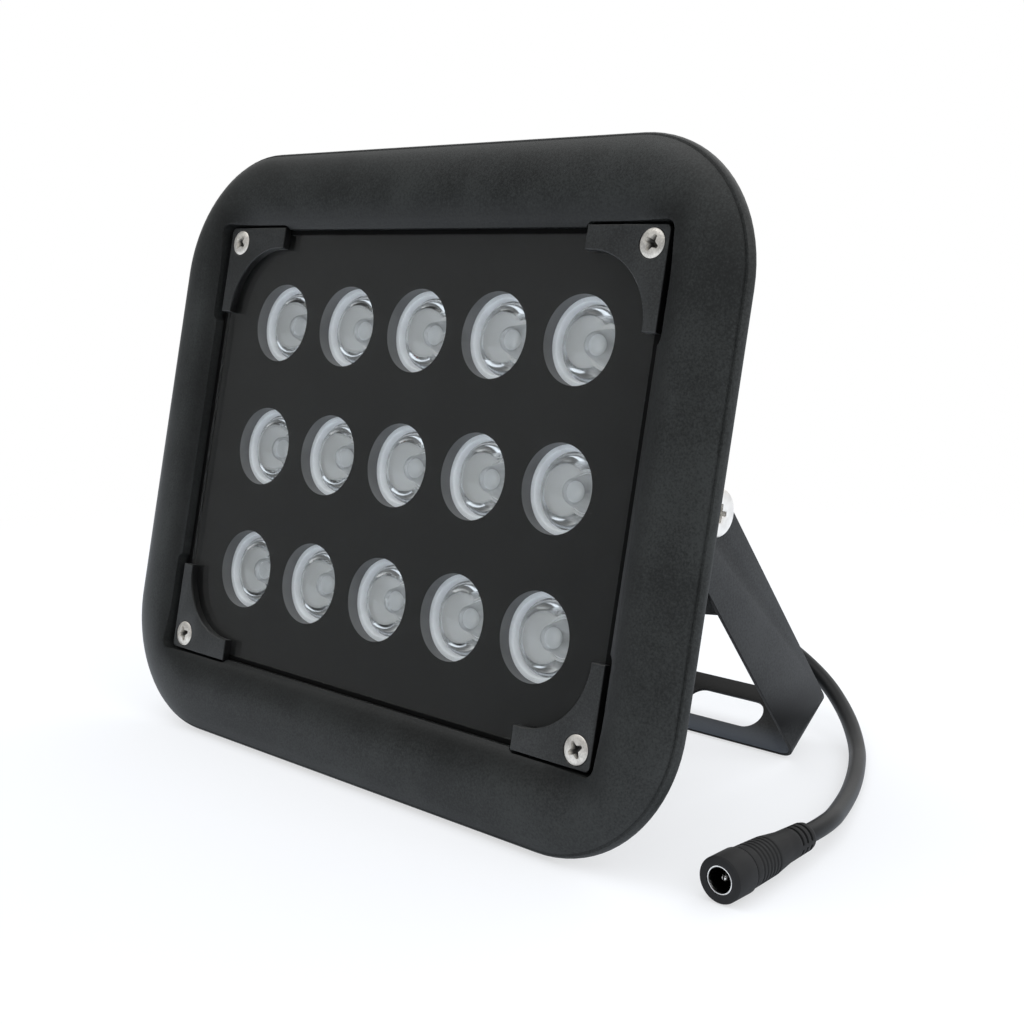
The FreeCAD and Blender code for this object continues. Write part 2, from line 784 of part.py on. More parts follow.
def build_sources():
    master = new_body("light_source", keep=False)
    base = new_sketch(master, "source_base", "XY_Plane")
    draw_rounded(base, 1.75, 1.75, 0.3)
    pad(master, "source_block", base, "0.8")
    revolve(master, "source_dome", [(0.0, 2.1), (0.8, 1.9), (1.3, 1.45), (1.5, 0.7), (0.0, 0.7)])
    level = size("board_front")
    copies("light_sources", master, [facing_front(x, level, z) for x, z in lens_places])


build_sources()


# Boards behind the lenses

def build_boards():
    board = new_body("light_board")
    outline = new_sketch(board, "board_outline", level="Sizes.board_front - Sizes.board_thick")
    draw_loop(outline, cut_corner_outline(size("board_half_width"), size("board_half_height"), 5.0))
    pad(board, "board_sheet", outline, "Sizes.board_thick")
    holes = new_sketch(board, "board_holes_outline", level="Sizes.board_front")
    draw_circles(holes, post_places, size("board_bore"), "Sizes.board_bore")
    draw_circles(holes, [(0.0, 17.4)], 7.0)
    pocket(board, "board_holes", holes, "Sizes.board_thick")
    board.Placement = head_frame

    driver = new_body("driver_board")
    outline = new_sketch(driver, "driver_outline", level="2.0")
    draw_rounded(outline, size("driver_half_width"), size("driver_half_height"), 1.5)
    draw_circles(outline, standoff_places, size("standoff_bore"), "Sizes.standoff_bore")
    pad(driver, "driver_sheet", outline, "Sizes.driver_thick")
    chips = new_sketch(driver, "chip_outline", level="3.6")
    draw_rounded(chips, 2.5, 2.0, 0.2, (0.0, -4.0))
    draw_rounded(chips, 1.6, 1.3, 0.2, (-1.0, 4.0))
    pad(driver, "chips", chips, "1.5")
    driver.Placement = head_frame

    choke = new_body("choke")
    revolve(choke, "choke_turned", [(0.0, 0.0), (6.0, 0.0), (6.0, 1.4), (4.6, 1.8), (4.6, 7.0),
                                    (6.0, 7.4), (6.0, 8.8), (0.0, 8.8)])
    choke.Placement = facing_front(-14.0, 3.6, 0.0)

    capacitor = new_body("capacitor")
    revolve(capacitor, "capacitor_turned", [(0.0, 0.0), (3.9, 0.0), (4.0, 0.4), (4.0, 1.2), (3.7, 1.6),
                                            (4.0, 2.0), (4.0, 10.7), (3.6, 11.0), (0.0, 11.0)])
    capacitor.Placement = facing_front(11.5, 3.6, 0.0)

    terminal = new_body("terminal_block")
    outline = new_sketch(terminal, "terminal_outline", level="3.6")
    draw_loop(outline, [(19.0, -4.0), (29.0, -4.0), (29.0, 4.0), (19.0, 4.0)])
    pad(terminal, "terminal_case", outline, "7.5")
    heads = new_sketch(terminal, "terminal_heads_outline", level="11.1")
    draw_circles(heads, [(21.6, 0.6), (26.4, 0.6)], 3.4)
    pocket(terminal, "terminal_heads", heads, "1.5")
    terminal.Placement = head_frame


build_boards()


def build_leads():
    entry_z = size("gland_z")
    tail_level = size("rear_level") - size("gland_seat_tall") - size("nut_top") + size("tail_long")
    for name, side in (("supply_lead_red", 1), ("supply_lead_black", -1)):
        end = 24.0 + 2.4 * side
        start = 1.05 * side
        route = [(start, tail_level, entry_z), (start, 7.0 + 1.2 * side, entry_z),
                 (3.0 + 1.5 * side, 8.5 + 1.2 * side, -10.5 - 1.2 * side),
                 (end, 7.6, -11.0 - 1.2 * side), (end, 7.6, -4.0)]
        tube(name, [head_point(*point) for point in route], 1.5)
    board_face = size("board_front")
    for name, side in (("light_lead_red", 1), ("light_lead_black", -1)):
        route = [(3.6 * side, 3.6, 9.5), (3.6 * side, 9.5, 9.5), (1.6 * side, 14.0, 17.0),
                 (1.6 * side, 22.0, 17.4), (5.6 * side, board_face + 3.6, 17.4),
                 (5.6 * side, board_face, 17.4)]
        tube(name, [head_point(*point) for point in route], 1.5)


build_leads()


# Cable gland on the back

def draw_hexagon(sketch, across, centre=(0.0, 0.0)):
    radius = across / math.sqrt(3.0)
    points = []
    for step in range(6):
        angle = step * math.pi / 3.0
        points.append((centre[0] + radius * math.cos(angle), centre[1] + radius * math.sin(angle)))
    draw_loop(sketch, points)


def build_gland():
    seat = size("rear_level") - size("gland_seat_tall")
    x, z, across, top, tail_long = sizes_of("gland_x", "gland_z", "gland_across", "nut_top", "tail_long")
    cord_radius, thread = size("cord_wide") / 2.0, size("gland_thread") / 2.0
    long, bore_wide, foot, grip = sizes_of("gland_long", "gland_bore", "nut_foot", "nut_grip")
    backward = head_frame.multiply(Placement(Vector(x, -seat, z), Rotation(Vector(1, 0, 0), -90)))

    body = new_body("gland_body")
    hexagon = new_sketch(body, "gland_hexagon", "XY_Plane")
    draw_hexagon(hexagon, across)
    pad(body, "gland_flange", hexagon, "4.0")
    revolve(body, "gland_threads", [(0.0, -5.6), (thread, -5.6), (thread, 1.0), (thread - 0.3, 3.0),
                                    (thread - 0.3, long), (0.0, long)])
    bore = new_sketch(body, "gland_bore_outline", "XY_Plane", "Sizes.gland_long")
    draw_circles(bore, [(0.0, 0.0)], bore_wide, "Sizes.gland_bore")
    pocket(body, "gland_bore", bore, "Sizes.gland_long + 5.6")
    body.Placement = backward

    seal = new_body("gland_seal")
    jacket = bore_wide / 2.0
    revolve(seal, "seal_turned", [(cord_radius, -2.0), (jacket, -2.0), (jacket, long),
                                  (jacket - 0.7, long + 1.5), (cord_radius, long + 1.5)])
    seal.Placement = backward

    nut = new_body("gland_nut")
    hexagon = new_sketch(nut, "nut_hexagon", "XY_Plane", "Sizes.nut_foot")
    draw_hexagon(hexagon, across)
    pad(nut, "nut_grip", hexagon, "Sizes.nut_grip")
    shoulder = foot + grip - 1.3
    revolve(nut, "nut_dome", [(0.0, shoulder), (7.3, shoulder), (7.2, top - 4.8), (6.4, top - 2.6),
                              (5.2, top - 1.2), (3.9, top - 0.4), (3.4, top), (0.0, top)])
    bore = new_sketch(nut, "nut_bore_outline", "XY_Plane", "Sizes.nut_foot")
    draw_circles(bore, [(0.0, 0.0)], 2.0 * thread - 0.6)
    pocket(nut, "nut_bore", bore, "Sizes.nut_grip", reverse=True)
    mouth = new_sketch(nut, "nut_mouth_outline", "XY_Plane", "Sizes.nut_top")
    draw_circles(mouth, [(0.0, 0.0)], size("nut_mouth"), "Sizes.nut_mouth")
    pocket(nut, "nut_mouth", mouth, "8.0")
    nut.Placement = backward

    tail = doc.addObject("Part::Cylinder", "cable_tail")
    tail.Label = "cable_tail"
    tail.setExpression("Radius", "Sizes.cord_wide / 2")
    tail.setExpression("Height", "Sizes.tail_long")
    tail.Placement = backward.multiply(Placement(Vector(0, 0, top - tail_long), Rotation()))
    pieces["cable_tail"] = tail
    return backward.multVec(Vector(0, 0, top)), backward.Rotation.multVec(Vector(0, 0, 1))


cord_exit, cord_way = build_gland()


# Bracket: a strap of sheet steel folded to a U, with its holes

def build_bracket():
    body = new_body("bracket")
    inner, thick, reach, bend, wide = sizes_of(
        "arm_inner", "sheet_thick", "base_reach", "bend_outer", "strap_wide")
    outer = inner + thick
    top = wide / 2.0
    small = bend - thick
    low = -(reach - bend)
    fold = new_sketch(body, "fold_outline")
    left_outer = arc_between((-outer + bend, low), bend, 2 * quarter, 3 * quarter)
    right_outer = arc_between((outer - bend, low), bend, 3 * quarter, 4 * quarter)
    left_inner = arc_between((-outer + bend, low), small, 2 * quarter, 3 * quarter)
    right_inner = arc_between((outer - bend, low), small, 3 * quarter, 4 * quarter)
    lines = [
        (Vector(-outer, top, 0), left_outer.StartPoint),
        (left_outer.EndPoint, right_outer.StartPoint),
        (right_outer.EndPoint, Vector(outer, top, 0)),
        (Vector(outer, top, 0), Vector(inner, top, 0)),
        (Vector(inner, top, 0), right_inner.EndPoint),
        (right_inner.StartPoint, left_inner.EndPoint),
        (left_inner.StartPoint, Vector(-inner, top, 0)),
        (Vector(-inner, top, 0), Vector(-outer, top, 0)),
    ]
    for start, end in lines:
        fold.addGeometry(Part.LineSegment(start, end), False)
    for arc in (left_outer, right_outer, left_inner, right_inner):
        fold.addGeometry(arc, False)
    pad(body, "strap", fold, "Sizes.strap_wide", both=True)

    across = "2 * (Sizes.arm_inner + Sizes.sheet_thick) + 1"
    ends = new_sketch(body, "arm_end_outline", "YZ_Plane")
    spare = top + 0.5
    corners = [(-top, 0.0), (-spare, 0.0), (-spare, spare), (spare, spare), (spare, 0.0), (top, 0.0)]
    for start, end in zip(corners, corners[1:]):
        ends.addGeometry(Part.LineSegment(Vector(*start, 0), Vector(*end, 0)), False)
    ends.addGeometry(arc_between((0.0, 0.0), top, 0.0, 2 * quarter), False)
    pocket(body, "arm_ends", ends, across, both=True)

    pivots = new_sketch(body, "pivot_hole_outline", "YZ_Plane")
    draw_circles(pivots, [(0.0, 0.0)], size("pivot_hole"), "Sizes.pivot_hole")
    pocket(body, "pivot_holes", pivots, across, both=True)

    holes = new_sketch(body, "base_hole_outline", "XY_Plane")
    draw_circles(holes, [(0.0, 0.0)], size("base_hole"), "Sizes.base_hole")
    for side in (-1, 1):
        draw_slot(holes, (side * size("slot_centre"), 0.0), size("slot_long"), size("slot_wide"))
    pocket(body, "base_holes", holes, "Sizes.base_reach + 5")
    body.Placement = bracket_frame


build_bracket()


# Pivot hardware, one set on each side

def build_pivot_hardware():
    boss, washer_thick, depth = sizes_of("boss_face", "washer_thick", "bolt_depth")
    outer = size("arm_inner") + size("sheet_thick")
    shank = size("bolt_wide") / 2.0
    shank_long = outer + washer_thick - boss + depth
    head, rim = size("bolt_head_tall"), size("bolt_head_wide") / 2.0
    bolt = [(0.0, head), (rim - 1.3, head), (rim - 0.5, head - 0.25), (rim - 0.1, head - 0.9),
            (rim, 0.3), (rim - 0.2, 0.0), (shank, 0.0),
            (shank, -shank_long), (0.0, -shank_long)]
    gap = size("arm_inner") - boss

    def ring_profile(bore, wide, tall):
        inner, outside = size(bore) / 2.0, size(wide) / 2.0
        return [(inner, 0.0), (outside, 0.0), (outside, tall), (inner, tall)]

    for side, sign, turn in (("right", 1, face_right), ("left", -1, face_left)):
        def outward(distance):
            return head_frame.multiply(Placement(Vector(sign * distance, 0, 0), turn))

        pad_ring = new_body("friction_washer_" + side)
        friction = ring_profile("friction_bore", "friction_wide", gap)
        revolve(pad_ring, "friction_turned_" + side, friction)
        pad_ring.Placement = outward(boss)
        ring = new_body("flat_washer_" + side)
        washer = ring_profile("washer_bore", "washer_wide", washer_thick)
        revolve(ring, "washer_turned_" + side, washer)
        ring.Placement = outward(outer)
        screw = new_body("pivot_bolt_" + side)
        revolve(screw, "bolt_turned_" + side, bolt)
        drive = new_sketch(screw, "bolt_drive_" + side, "XY_Plane", str(head))
        cross_outline(drive, *sizes_of("bolt_cross_wide", "bolt_cross_arm"))
        pocket(screw, "bolt_cross_" + side, drive, "Sizes.bolt_cross_deep")
        screw.Placement = outward(outer + washer_thick)


build_pivot_hardware()


# Power lead: out of the gland, over the foot of the bracket and forward along the ground

def build_cord():
    radius = size("cord_wide") / 2.0
    floor = radius + 0.02
    base = Vector(0, size("shift_back"), 0)
    lead_out = cord_exit.add(Vector(cord_way).multiply(17.5))
    route = [
        (8.0, 60.0, 37.5),
        (22.0, 75.0, 30.5),
        (40.0, 83.5, 21.3),
        (57.0, 82.7, 12.6),
        (70.8, 73.8, 6.3),
        (82.4, 60.6, floor + 0.03),
        (91.6, 45.0, floor),
        (98.9, 30.0, floor),
        (105.4, 14.5, 3.5),
    ]
    end = Vector(111.07, -9.96, size("jack_wide") / 2.0).add(base)
    before = end.sub(Vector(jack_way).multiply(10.0))
    points = [cord_exit, lead_out] + [Vector(*point).add(base) for point in route] + [before, end]
    tube("cord", points, size("cord_wide"), keep_radii=True)
    return end


jack_way = Vector(0.018, -0.99984, 0.0).normalize()
cord_end = build_cord()


# Socket on the end of the lead: bend relief, taper, finger grooves, collar and contacts

def jack_outline():
    radius, long = size("jack_wide") / 2.0, size("jack_long")
    collar = long - size("collar_long")
    relief = [(0.0, 0.0), (2.7, 0.0), (3.2, 0.35), (3.4, 1.2), (3.75, size("relief_long")),
              (4.55, size("taper_end"))]
    grooves = []
    for step in range(6):
        start = size("taper_end") + 0.6 + 1.35 * step
        ridge = 4.6 + 0.05 * step
        grooves += [(ridge, start), (ridge - 0.22, start + 0.15), (ridge - 0.22, start + 0.5),
                    (ridge, start + 0.65)]
    end = [(radius - 0.3, collar - 0.5), (radius - 0.5, collar - 0.4), (radius - 0.5, collar - 0.1),
           (radius - 0.15, collar), (radius, collar + 0.3), (radius, long - 0.4), (radius - 0.4, long)]
    return relief + grooves + end


relief_levels = (1.9, 3.8, 5.7)


def relief_slot(sketch, side):
    core = size("relief_core") / 2.0
    low, reach = 0.45, 5.0
    half = math.sqrt(core * core - low * low)
    start = math.asin(low / core)
    if side > 0:
        floor = arc_between((0.0, 0.0), core, start, math.pi - start)
        ends = [(-half, low), (-reach, low), (-reach, reach), (reach, reach), (reach, low), (half, low)]
    else:
        floor = arc_between((0.0, 0.0), core, math.pi + start, 2.0 * math.pi - start)
        ends = [(half, -low), (reach, -low), (reach, -reach), (-reach, -reach), (-reach, -low), (-half, -low)]
    first = len(sketch.Geometry)
    sketch.addGeometry(floor, False)
    for start_point, end_point in zip(ends, ends[1:]):
        sketch.addGeometry(Part.LineSegment(Vector(*start_point, 0), Vector(*end_point, 0)), False)
    close_chain(sketch, first, len(ends))


def build_socket():
    long, deep = sizes_of("jack_long", "socket_deep")
    outer, bore, pin_radius = [size(name) / 2.0 for name in ("sleeve_wide", "sleeve_bore", "pin_wide")]
    lying = Placement(cord_end, Rotation(Vector(0, 0, 1), jack_way))
    back = long - deep

    body = new_body("jack_body")
    revolve(body, "jack_turned", jack_outline() + [(outer, long), (outer, back), (0.0, back)])
    for number, level in enumerate(relief_levels, start=1):
        for half, side in (("upper", 1), ("lower", -1)):
            name = "relief_slot_%s_%d" % (half, number)
            slot = new_sketch(body, name + "_outline", "XY_Plane", str(level))
            relief_slot(slot, side)
            pocket(body, name, slot, "Sizes.relief_slot_wide", reverse=True)
    body.Placement = lying

    sleeve = new_body("jack_sleeve")
    revolve(sleeve, "sleeve_turned", [(bore, back), (outer, back), (outer, long - 0.2), (bore, long - 0.2)])
    sleeve.Placement = lying

    pin = new_body("jack_pin")
    tip = long - size("pin_set_back")
    revolve(pin, "pin_turned", [(0.0, back), (pin_radius, back), (pin_radius, tip - 1.2),
                                (pin_radius - 0.12, tip - 0.6), (pin_radius - 0.4, tip - 0.15),
                                (pin_radius - 0.65, tip), (0.0, tip)])
    split = new_sketch(pin, "pin_split_outline", "XY_Plane", str(tip))
    gap, over = size("pin_split") / 2.0, 1.5
    draw_loop(split, [(-gap, -over), (gap, -over), (gap, over), (-gap, over)])
    pocket(pin, "pin_split", split, "5.0")
    pin.Placement = lying


build_socket()


# Every object must be sound before anything is written

def check_document():
    doc.recompute()
    for item in doc.Objects:
        if "Invalid" in item.State or "Error" in item.State:
            raise RuntimeError("failed object " + item.Name)
    for name, item in pieces.items():
        shape = item.Shape
        if shape.isNull() or not shape.isValid() or not shape.Solids:
            raise RuntimeError("unsound piece " + name)


def write_pieces():
    for name, item in pieces.items():
        item.Shape.exportStep("parts/%s.step" % name)
        box = item.Shape.optimalBoundingBox(True)
        print("%-24s solids %2d volume %9.1f  x %7.2f %7.2f  y %7.2f %7.2f  z %7.2f %7.2f" % (
            name, len(item.Shape.Solids), item.Shape.Volume,
            box.XMin, box.XMax, box.YMin, box.YMax, box.ZMin, box.ZMax))


check_document()
write_pieces()
print(len(pieces), "pieces")
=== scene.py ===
import math

import bmesh
import bpy
from mathutils import Matrix, Vector


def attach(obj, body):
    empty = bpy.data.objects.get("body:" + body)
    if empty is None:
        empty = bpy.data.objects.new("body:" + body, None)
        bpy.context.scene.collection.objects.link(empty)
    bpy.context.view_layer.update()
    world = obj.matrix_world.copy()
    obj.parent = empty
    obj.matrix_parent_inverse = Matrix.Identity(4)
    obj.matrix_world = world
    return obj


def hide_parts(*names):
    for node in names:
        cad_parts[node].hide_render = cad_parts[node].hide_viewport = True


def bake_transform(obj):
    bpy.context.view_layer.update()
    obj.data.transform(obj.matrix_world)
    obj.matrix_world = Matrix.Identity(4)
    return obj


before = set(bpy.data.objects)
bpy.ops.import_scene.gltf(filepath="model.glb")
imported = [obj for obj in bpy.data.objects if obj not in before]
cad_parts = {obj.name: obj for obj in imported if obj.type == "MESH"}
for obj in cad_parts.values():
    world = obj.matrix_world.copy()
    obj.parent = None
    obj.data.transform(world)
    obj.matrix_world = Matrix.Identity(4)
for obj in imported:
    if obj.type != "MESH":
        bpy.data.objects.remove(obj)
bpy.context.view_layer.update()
millimetre = 0.001

# where the head and the lead stand, as in the solids, in millimetres and degrees
stance = {
    "headLean": 12.4,
    "pivotBack": -4.14,
    "pivotHeight": 74.0,
    "boardFront": 19.4,
    "lensTall": 9.4,
    "clipFront": 36.2,
    "socketFace": -47.5,
}
headPlace = (Matrix.Translation((0.0, stance["pivotBack"] * millimetre, stance["pivotHeight"] * millimetre))
             @ Matrix.Rotation(-math.radians(stance["headLean"]), 4, "X"))


def onHead(across, level, up):
    return headPlace @ (Vector((across, -level, up)) * millimetre)


# small helpers for meshes; distances are in millimetres and angles in degrees

meshing = {"merge": 0.001, "solidMerge": 0.002, "flat": 0.5, "easedFrom": 35.0, "solidSmooth": 30.0,
           "turnedSmooth": 32.0, "tubeSmooth": 50.0}


def addPiece(name, data, body, nodes=()):
    piece = bpy.data.objects.new(name, data)
    bpy.context.scene.collection.objects.link(piece)
    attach(piece, body)
    if nodes:
        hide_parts(*nodes)
    return piece


def smoothByAngle(data, degrees):
    for face in data.polygons:
        face.use_smooth = True
    data.set_sharp_from_angle(angle=math.radians(degrees))


def turned(name, profile, steps=64):
    # profile runs from the axis round to the axis again, as (radius, height) in millimetres
    shape = bmesh.new()
    line = [shape.verts.new((radius * millimetre, 0.0, height * millimetre)) for radius, height in profile]
    edges = [shape.edges.new(pair) for pair in zip(line, line[1:])]
    bmesh.ops.spin(shape, geom=line + edges, axis=(0, 0, 1), cent=(0, 0, 0), steps=steps,
                   angle=math.tau, use_merge=False, use_duplicate=False)
    bmesh.ops.remove_doubles(shape, verts=shape.verts, dist=meshing["merge"] * millimetre)
    bmesh.ops.recalc_face_normals(shape, faces=shape.faces)
    data = bpy.data.meshes.new(name)
    shape.to_mesh(data)
    shape.free()
    smoothByAngle(data, meshing["turnedSmooth"])
    return data


def softCopy(nodes, name, body, finish, width=0.25, segments=2, setBack=0.0):
    # the solid's own surface, merged, with its sharp edges eased as on the real piece
    shape = bmesh.new()
    for node in nodes:
        shape.from_mesh(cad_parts[node].data)
    bmesh.ops.remove_doubles(shape, verts=shape.verts, dist=meshing["solidMerge"] * millimetre)
    bmesh.ops.dissolve_limit(shape, angle_limit=math.radians(meshing["flat"]), verts=shape.verts,
                             edges=shape.edges)
    bmesh.ops.translate(shape, verts=shape.verts, vec=onHead(0, -setBack, 0) - onHead(0, 0, 0))
    data = bpy.data.meshes.new(name)
    shape.to_mesh(data)
    shape.free()
    data.materials.append(finish)
    piece = addPiece(name, data, body, nodes)
    if width:
        ease = piece.modifiers.new("easedEdges", "BEVEL")
        ease.width = width * millimetre
        ease.segments = segments
        ease.limit_method = "ANGLE"
        ease.angle_limit = math.radians(meshing["easedFrom"])
        ease.use_clamp_overlap = True
    settle(piece)
    smoothByAngle(piece.data, meshing["solidSmooth"])
    return piece


def settle(piece):
    # turns what the modifiers make into the piece's own mesh
    graph = bpy.context.evaluated_depsgraph_get()
    made = bpy.data.meshes.new_from_object(piece.evaluated_get(graph), depsgraph=graph)
    old = piece.data
    piece.modifiers.clear()
    piece.data = made
    bpy.data.meshes.remove(old)


# shader maths: a wire is one output socket, and sums of wires add their own nodes

class Wire:
    def __init__(self, finish, socket):
        self.finish = finish
        self.socket = socket

    def work(self, operation, *values):
        return self.finish.add("ShaderNodeMath", {"operation": operation}, dict(enumerate(values)))

    def __add__(self, other):
        return self.work("ADD", self, other)

    __radd__ = __add__

    def __sub__(self, other):
        return self.work("SUBTRACT", self, other)

    def __rsub__(self, other):
        return self.work("SUBTRACT", other, self)

    def __mul__(self, other):
        return self.work("MULTIPLY", self, other)

    __rmul__ = __mul__

    def __truediv__(self, other):
        return self.work("DIVIDE", self, other)

    def __rtruediv__(self, other):
        return self.work("DIVIDE", other, self)

    def higher(self, other):
        return self.work("MAXIMUM", self, other)

    def lower(self, other):
        return self.work("MINIMUM", self, other)

    def size(self):
        return self.work("ABSOLUTE", self)

    def ramp(self, low, high, first=0.0, last=1.0):
        return self.finish.add("ShaderNodeMapRange", {"interpolation_type": "SMOOTHSTEP"},
                               {"Value": self, "From Min": low, "From Max": high,
                                "To Min": first, "To Max": last})


class Finish:
    seedShift = (1.0, 0.7, 1.3)  # how far each axis of a pattern moves for a seed

    def __init__(self, name, owner=None):
        self.owner = owner or bpy.data.materials.new(name)
        self.owner.use_nodes = True
        self.tree = self.owner.node_tree
        self.tree.nodes.clear()

    def node(self, kind, settings=None, values=None):
        node = self.tree.nodes.new(kind)
        for key, value in (settings or {}).items():
            setattr(node, key, value)
        for key, value in (values or {}).items():
            socket = node.inputs[key]
            if isinstance(value, Wire):
                self.tree.links.new(value.socket, socket)
            elif socket.type == "RGBA":
                socket.default_value = (*value, 1.0)
            else:
                socket.default_value = value
        return node

    def add(self, kind, settings=None, values=None, output=0):
        return Wire(self, self.node(kind, settings, values).outputs[output])

    def place(self):
        return self.add("ShaderNodeTexCoord", output="Object")

    def axis(self, letter):
        return self.add("ShaderNodeSeparateXYZ", None, {"Vector": self.place()}, output=letter)

    def noise(self, size, detail=2.0, roughness=0.5, seed=0.0):
        # size is the width of one patch in millimetres
        shift = tuple(seed * share for share in self.seedShift)
        where = self.add("ShaderNodeMapping", None, {"Vector": self.place(), "Location": shift})
        return self.add("ShaderNodeTexNoise", None, {"Vector": where, "Scale": 1.0 / (size * millimetre),
                                                     "Detail": detail, "Roughness": roughness})

    def alongHead(self, start, way):
        # distance in metres from one point of the head along one of its directions
        direction = (onHead(*way) - onHead(0.0, 0.0, 0.0)).normalized()
        apart = self.add("ShaderNodeVectorMath", {"operation": "SUBTRACT"},
                         {0: self.place(), 1: onHead(*start)})
        return self.add("ShaderNodeVectorMath", {"operation": "DOT_PRODUCT"}, {0: apart, 1: direction},
                        output="Value")

    def levelBelow(self, level):
        return self.alongHead((0.0, level, 0.0), (0.0, -1.0, 0.0))

    def within(self, way, half, soft=0.2):
        # one between two planes of the head, this many millimetres to either side of its middle
        apart = self.alongHead((0.0, 0.0, 0.0), way).size()
        return apart.ramp((half - soft) * millimetre, (half + soft) * millimetre, 1.0, 0.0)

    def facing(self, way, low=0.3, high=0.7):
        # one where the surface looks along one direction of the piece
        normal = self.add("ShaderNodeTexCoord", output="Normal")
        return self.add("ShaderNodeVectorMath", {"operation": "DOT_PRODUCT"}, {0: normal, 1: way},
                        output="Value").ramp(low, high)

    def blend(self, factor, first, second):
        return self.add("ShaderNodeMix", {"data_type": "RGBA"}, {"Factor": factor, 6: first, 7: second},
                        output=2)

    def bump(self, height, depth, strength):
        return self.add("ShaderNodeBump", None, {"Height": height, "Strength": strength,
                                                 "Distance": depth * millimetre})

    def principled(self, values):
        return self.add("ShaderNodeBsdfPrincipled", None, values)

    def finish(self, shader, kind="ShaderNodeOutputMaterial"):
        self.node(kind, None, {"Surface": shader})
        return self.owner

    def lettingLightOn(self, body, tint=(1.0, 1.0, 1.0), share=1.0):
        # the rays that carry light to a matt surface behind pass as through a clear sheet
        shadow = self.add("ShaderNodeLightPath", output="Is Shadow Ray")
        carrying = shadow.higher(self.add("ShaderNodeLightPath", output="Is Diffuse Ray"))
        clear = self.add("ShaderNodeBsdfTransparent", None, {"Color": tint})
        return self.finish(self.add("ShaderNodeMixShader", None, {0: carrying * share, 1: body, 2: clear}))


def scaled(colour, share):
    return tuple(min(1.0, channel * share) for channel in colour)


# black paint; the tints are shares of the paint's own colour

paintLook = {"cloudSize": 22.0, "cloudSeed": 3.1, "cloudShare": 0.4, "grainShare": 0.6,
             "tintFrom": (0.36, 0.64), "darkest": 0.6, "palest": 1.48,
             "glossLess": 0.06, "glossCloud": 0.1, "glossGrain": 0.04, "bump": 0.6}


def paintedMetal(name, base, rough, grain, depth, shine, paintedLight):
    # grain, faint clouding and slightly polished patches, with the piece's painted light and shade laid over
    # them
    look = paintLook
    paint = Finish(name)
    fine = paint.noise(grain, 3.0, 0.7)
    cloud = paint.noise(look["cloudSize"], 3.0, seed=look["cloudSeed"])
    tint = (cloud * look["cloudShare"] + fine * look["grainShare"]).ramp(*look["tintFrom"])
    colour = paint.blend(tint, scaled(base, look["darkest"]), scaled(base, look["palest"]))
    gloss = rough - look["glossLess"] + cloud * look["glossCloud"] + fine * look["glossGrain"]
    return paint.finish(paint.principled({
        "Base Color": paintedLight(paint, colour), "Roughness": gloss, "Specular IOR Level": shine,
        "Normal": paint.bump(fine, depth, look["bump"])}))


# the bezel, the clips and the strap carry painted light and shade, neither wear nor dirt, which stays the
# same in every pose and light

bezelPaintedShade = {
    # the gap round the pane, painted in shadow, lies between two levels of the head and inside two half
    # widths, in millimetres
    "front": 34.1, "ledge": 26.0, "across": 82.4, "up": 62.1, "soft": 0.3,
    "deep": (0.00285, 0.00312, 0.00306),
    # painted shade: the slope beside the gap is darker than the crown of the bezel
    "slopeReach": 3.5, "slopeShare": 0.55, "slope": (0.0038, 0.00416, 0.00408),
}


def paintBezelShade(paint, colour):
    # painted shade on the slope beside the gap, and painted shadow, almost black, in the gap below the pane's
    # front
    paintedLight = bezelPaintedShade
    reach, soft = paintedLight["slopeReach"], paintedLight["soft"] * millimetre
    acrossHead, upHead = (1.0, 0.0, 0.0), (0.0, 0.0, 1.0)
    slope = paint.within(acrossHead, paintedLight["across"] + reach, reach)
    slope = slope * paint.within(upHead, paintedLight["up"] + reach, reach)
    slope = slope * paint.levelBelow(paintedLight["front"]).ramp(-soft, soft, 1.0, 0.0)
    colour = paint.blend(slope * paintedLight["slopeShare"], colour, paintedLight["slope"])
    deep = paint.levelBelow(paintedLight["front"]).ramp(-soft, soft)
    deep = deep * paint.levelBelow(paintedLight["ledge"]).ramp(-soft, soft, 1.0, 0.0)
    deep = deep * paint.within(acrossHead, paintedLight["across"]) * paint.within(upHead, paintedLight["up"])
    return paint.blend(deep, colour, paintedLight["deep"])


# painted shade on the clips' walls that look to the right
clipPaintedShade = {"darkSide": (1.0, 0.0, 0.0), "share": 0.92, "dark": (0.001, 0.001, 0.001)}


def paintClipShade(paint, colour):
    # painted shade: the walls that look to the right are dark
    return paint.blend(paint.facing(clipPaintedShade["darkSide"]) * clipPaintedShade["share"], colour, clipPaintedShade["dark"])


# painted light and shade on the strap
strapPaintedLightAndShade = {
    # heights above the ground and distances from the middle, in metres
    "armFrom": (0.0705, 0.0712), "bandRise": (0.007, 0.013), "bandFall": (0.014, 0.024),
    "backRise": (0.004, 0.010), "frontFall": (0.001, 0.006), "backShare": 0.9, "frontShare": 0.8,
    # the faces painted in shade, then the colours of the painted dark reflection, the painted shadow and the
    # painted highlight
    "darkSide": (0.0, -0.78, -0.63),
    "band": (0.001, 0.001, 0.001), "dark": (0.002, 0.002, 0.002), "pale": (0.105, 0.122, 0.148),
}


